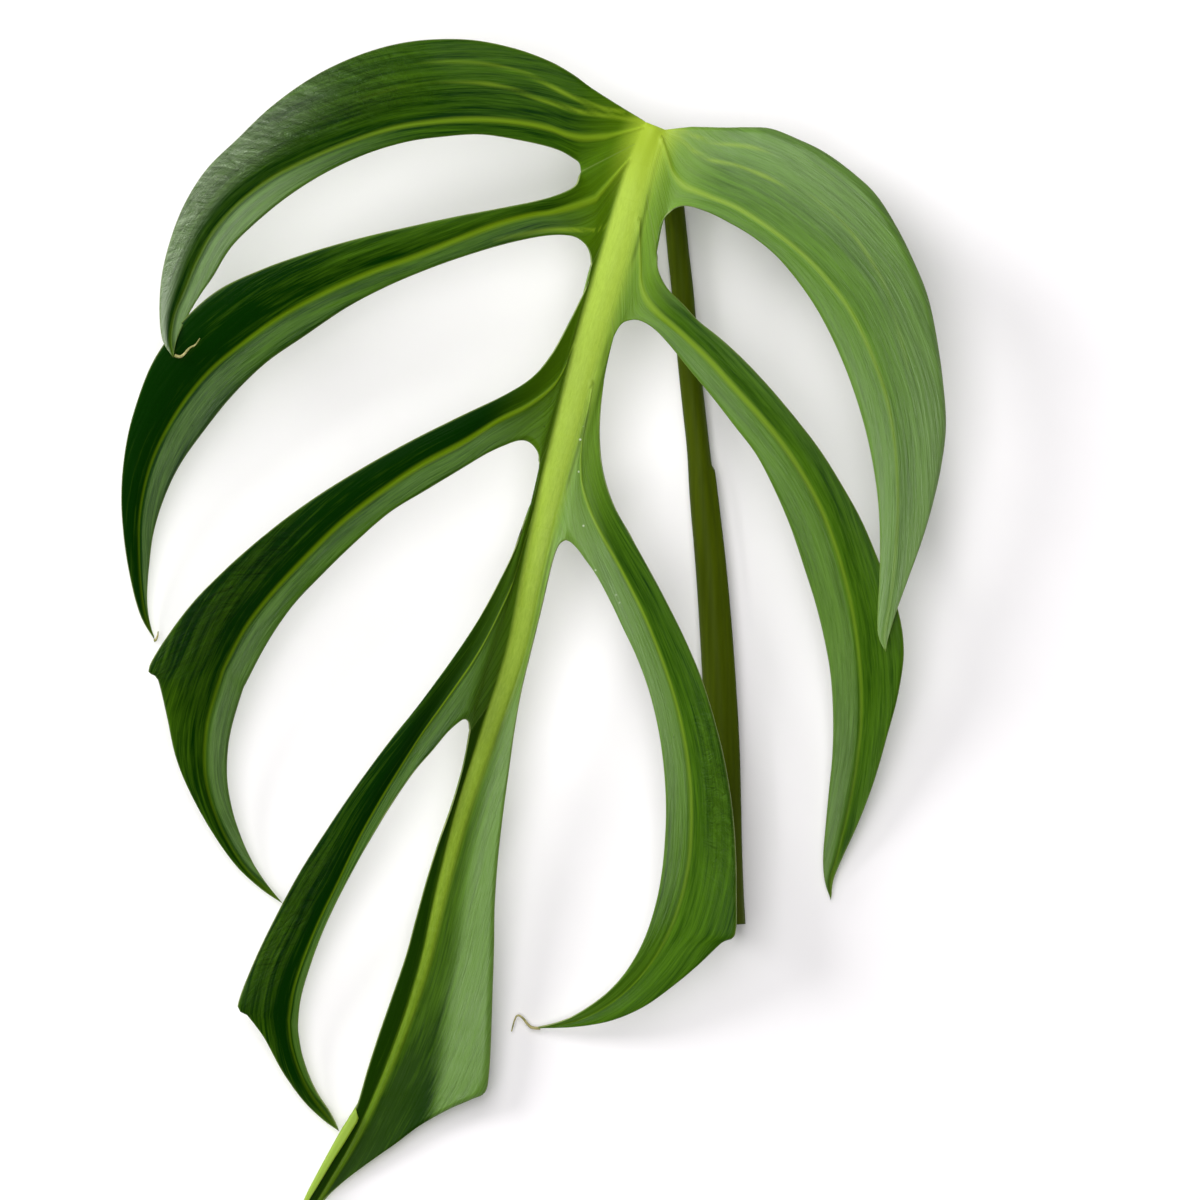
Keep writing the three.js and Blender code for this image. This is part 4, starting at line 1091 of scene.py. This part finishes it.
class OBJECT_OT_add_leaf_blade(bpy.types.Operator):
    """Add the leaf's blade with its midrib, veins and lobes"""
    bl_idname = "object.add_leaf_blade"
    bl_label = "Leaf blade"

    def execute(self, context):
        points, faces, slots, by_corner, by_point = blade_arrays(context.scene.leaf_blade)
        piece = mesh_object("leaf_blade_skin", to_row(points), faces, slots, by_corner, by_point)
        for maker in (waxy_leaf_skin, matte_leaf_underside, pale_leaf_margin):
            piece.data.materials.append(maker())
        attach(piece, "root")
        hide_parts("leaf_blade")
        return {"FINISHED"}


# How the fine petiole is divided, and the direction across it from which its sides are counted.
PETIOLE_SIDES = 40
PETIOLE_ROWS = 16
PETIOLE_ACROSS = np.array([1.0, 0.1, 0.0])
# Its centre line goes on into the blade's base, in mm with the radius.
PETIOLE_END = [-0.4, -5.2, 23.6, 2.7]
# The sheath's wing starts short and thins out towards the foot, in mm along Y. Its angle and spread in radians.
WING_STARTS = (-83.5, -85.5)
WING_THINS = (-150, -199)
WING_ANGLE = 0.35
WING_SPREAD = 0.22


class OBJECT_OT_add_petiole(bpy.types.Operator):
    """Add the petiole with its knee under the blade's base"""
    bl_idname = "object.add_petiole"
    bl_label = "Petiole"

    def execute(self, context):
        line = np.array([*PETIOLE, PETIOLE_END], float)
        fine = through(line, np.linspace(0, len(line) - 1, PETIOLE_ROWS * (len(line) - 1)))
        direction = np.gradient(fine[:, :3], axis=0)
        direction /= np.linalg.norm(direction, axis=1)[:, None]
        across = PETIOLE_ACROSS - direction * (direction @ PETIOLE_ACROSS)[:, None]
        across /= np.linalg.norm(across, axis=1)[:, None]
        up = np.cross(across, direction)
        wing_width = context.scene.petiole.wing_width / MM
        points = []
        for i, (x, y, z, radius) in enumerate(fine):
            wing = wing_width * float(smooth_step(*WING_STARTS, y) * (1 - smooth_step(*WING_THINS, y)))
            for k in range(PETIOLE_SIDES):
                angle = 2 * math.pi * k / PETIOLE_SIDES
                off = math.atan2(math.sin(angle - WING_ANGLE), math.cos(angle - WING_ANGLE))
                reach = radius + wing * math.exp(-(off / WING_SPREAD) ** 2)
                spoke = math.cos(angle) * across[i] + math.sin(angle) * up[i]
                points.append(np.array([x, y, z]) + reach * spoke)
        faces = []
        for i in range(0, (len(fine) - 1) * PETIOLE_SIDES, PETIOLE_SIDES):
            for k in range(PETIOLE_SIDES):
                a, b = i + k, i + (k + 1) % PETIOLE_SIDES
                faces.append((a, a + PETIOLE_SIDES, b + PETIOLE_SIDES, b))
        faces.append(tuple(range(PETIOLE_SIDES)))
        faces.append(tuple(reversed(range(len(points) - PETIOLE_SIDES, len(points)))))
        piece = mesh_object("petiole_stalk", to_row(np.array(points)), faces)
        piece.data.materials.append(fleshy_petiole_skin())
        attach(piece, "root")
        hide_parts("petiole")
        return {"FINISHED"}


class OBJECT_OT_add_dried_threads(bpy.types.Operator):
    """Add the withered threads that end three of the lobes"""
    bl_idname = "object.add_dried_threads"
    bl_label = "Dried threads"

    def execute(self, context):
        skin = dried_plant_thread()
        for name, line in THREADS.items():
            deselect_all()
            bpy.ops.curve.primitive_nurbs_path_add(location=(0, 0, 0))
            piece = context.active_object
            piece.name = name
            piece.data.bevel_depth = context.scene.dried_threads.thread_radius
            piece.data.bevel_resolution = 3
            piece.data.resolution_u = 12
            piece.data.use_fill_caps = True
            path = piece.data.splines[0]
            path.points.add(len(line) - len(path.points))
            path.use_endpoint_u = True
            path.order_u = 3
            for number, (knot, place) in enumerate(zip(path.points, to_row(line))):
                knot.co = (*place, 1.0)
                knot.radius = 1.0 - 0.65 * number / (len(line) - 1)
            bpy.ops.object.convert(target="MESH")
            bpy.ops.object.shade_smooth()
            piece.data.materials.clear()
            piece.data.materials.append(skin)
            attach(piece, "root")
        return {"FINISHED"}


# The studio, in metres but for the middle of the view, in mm from the blade's base, and the camera's sensor,
# in mm. Each lamp's place is as seen from that middle.
TABLE_WIDTH = 6.0
VIEW_MIDDLE = (-13.75, -117.5, 15.0)
SENSOR_WIDTH = 36.0
SOFTBOX_OFFSET = (-0.45, 1.0)
SIDE_LAMP_OFFSET = (-2.2, 1.1, 1.3)
SIDE_LAMP_WIDTH = 1.4


def add_area_light(context, name, shape, width, power, place):
    data = bpy.data.lights.new(name, "AREA")
    data.shape = shape
    data.size = width
    data.energy = power
    lamp = bpy.data.objects.new(name, data)
    lamp.location = place
    context.scene.collection.objects.link(lamp)
    return lamp


class OBJECT_OT_add_leaf_studio(bpy.types.Operator):
    """Add the table, the softbox, the even fill and the camera"""
    bl_idname = "object.add_leaf_studio"
    bl_label = "Studio"

    def execute(self, context):
        settings = context.scene.leaf_studio
        deselect_all()
        bpy.ops.mesh.primitive_plane_add(size=TABLE_WIDTH, location=(0, 0, 0))
        table = context.active_object
        table.name = "table_top"
        table.data.materials.append(matte_white_board())

        middle = Vector(to_row([VIEW_MIDDLE])[0])
        camera_data = bpy.data.cameras.new("top_camera")
        camera_data.sensor_width = SENSOR_WIDTH
        camera_data.lens = SENSOR_WIDTH * (settings.camera_height - middle.z) / settings.view_width
        camera_data.clip_end = 20.0
        camera = bpy.data.objects.new("top_camera", camera_data)
        camera.location = middle + Vector((0, 0, settings.camera_height - middle.z))
        context.scene.collection.objects.link(camera)
        context.scene.camera = camera

        softbox = add_area_light(context, "softbox", "RECTANGLE", settings.softbox_width, settings.key_power,
                                 middle + Vector((*SOFTBOX_OFFSET, settings.softbox_height)))
        softbox.data.size_y = settings.softbox_length
        side = add_area_light(context, "side_lamp", "DISK", SIDE_LAMP_WIDTH, settings.side_power,
                              middle + Vector(SIDE_LAMP_OFFSET))
        side.rotation_euler = (middle - side.location).to_track_quat("-Z", "Y").to_euler()

        # Pale walls low down all round and a dark ceiling, so that only the lamps show as gloss.
        world = bpy.data.worlds.new("even_fill")
        world.use_nodes = True
        tree = world.node_tree
        background = tree.nodes["Background"]
        direction = add_node(tree, "ShaderNodeTexCoord", output="Generated")
        height = add_node(tree, "ShaderNodeSeparateXYZ", [direction], 2)
        wall = ramp(tree, height, 0.12, 0.5, settings.fill_strength, settings.ceiling_strength, smooth=True)
        tree.links.new(wall, background.inputs["Strength"])
        background.inputs["Color"].default_value = (1.0, 1.0, 1.0, 1.0)
        context.scene.world = world
        context.scene.view_settings.view_transform = "Standard"
        return {"FINISHED"}


class VIEW3D_PT_monstera_leaf(bpy.types.Panel):
    """Lists the leaf's pieces and their sizes"""
    bl_label = "Monstera leaf"
    bl_space_type = "VIEW_3D"
    bl_region_type = "UI"
    bl_category = "Leaf"

    def draw(self, context):
        scene = context.scene
        studio_fields = ("camera_height", "view_width", "key_power", "fill_strength", "ceiling_strength")
        for settings, fields, operator in (
            (scene.leaf_blade, ("sheet_thickness",), "object.add_leaf_blade"),
            (scene.petiole, ("wing_width",), "object.add_petiole"),
            (scene.dried_threads, ("thread_radius",), "object.add_dried_threads"),
            (scene.leaf_studio, studio_fields, "object.add_leaf_studio"),
        ):
            box = self.layout.box()
            for field in fields:
                box.prop(settings, field)
            box.operator(operator)


CLASSES = (
    LeafBladeSettings, PetioleSettings, DriedThreadSettings, StudioSettings,
    OBJECT_OT_add_leaf_blade, OBJECT_OT_add_petiole, OBJECT_OT_add_dried_threads, OBJECT_OT_add_leaf_studio,
    VIEW3D_PT_monstera_leaf,
)
SETTINGS = {
    "leaf_blade": LeafBladeSettings, "petiole": PetioleSettings, "dried_threads": DriedThreadSettings,
    "leaf_studio": StudioSettings,
}


def register():
    for item in CLASSES:
        bpy.utils.register_class(item)
    for name, kind in SETTINGS.items():
        setattr(bpy.types.Scene, name, PointerProperty(type=kind))


def unregister():
    for name in SETTINGS:
        delattr(bpy.types.Scene, name)
    for item in reversed(CLASSES):
        bpy.utils.unregister_class(item)


def main():
    register()
    bpy.ops.object.add_leaf_blade()
    bpy.ops.object.add_petiole()
    bpy.ops.object.add_dried_threads()
    bpy.ops.object.add_leaf_studio()


if __name__ == "__main__":
    main()
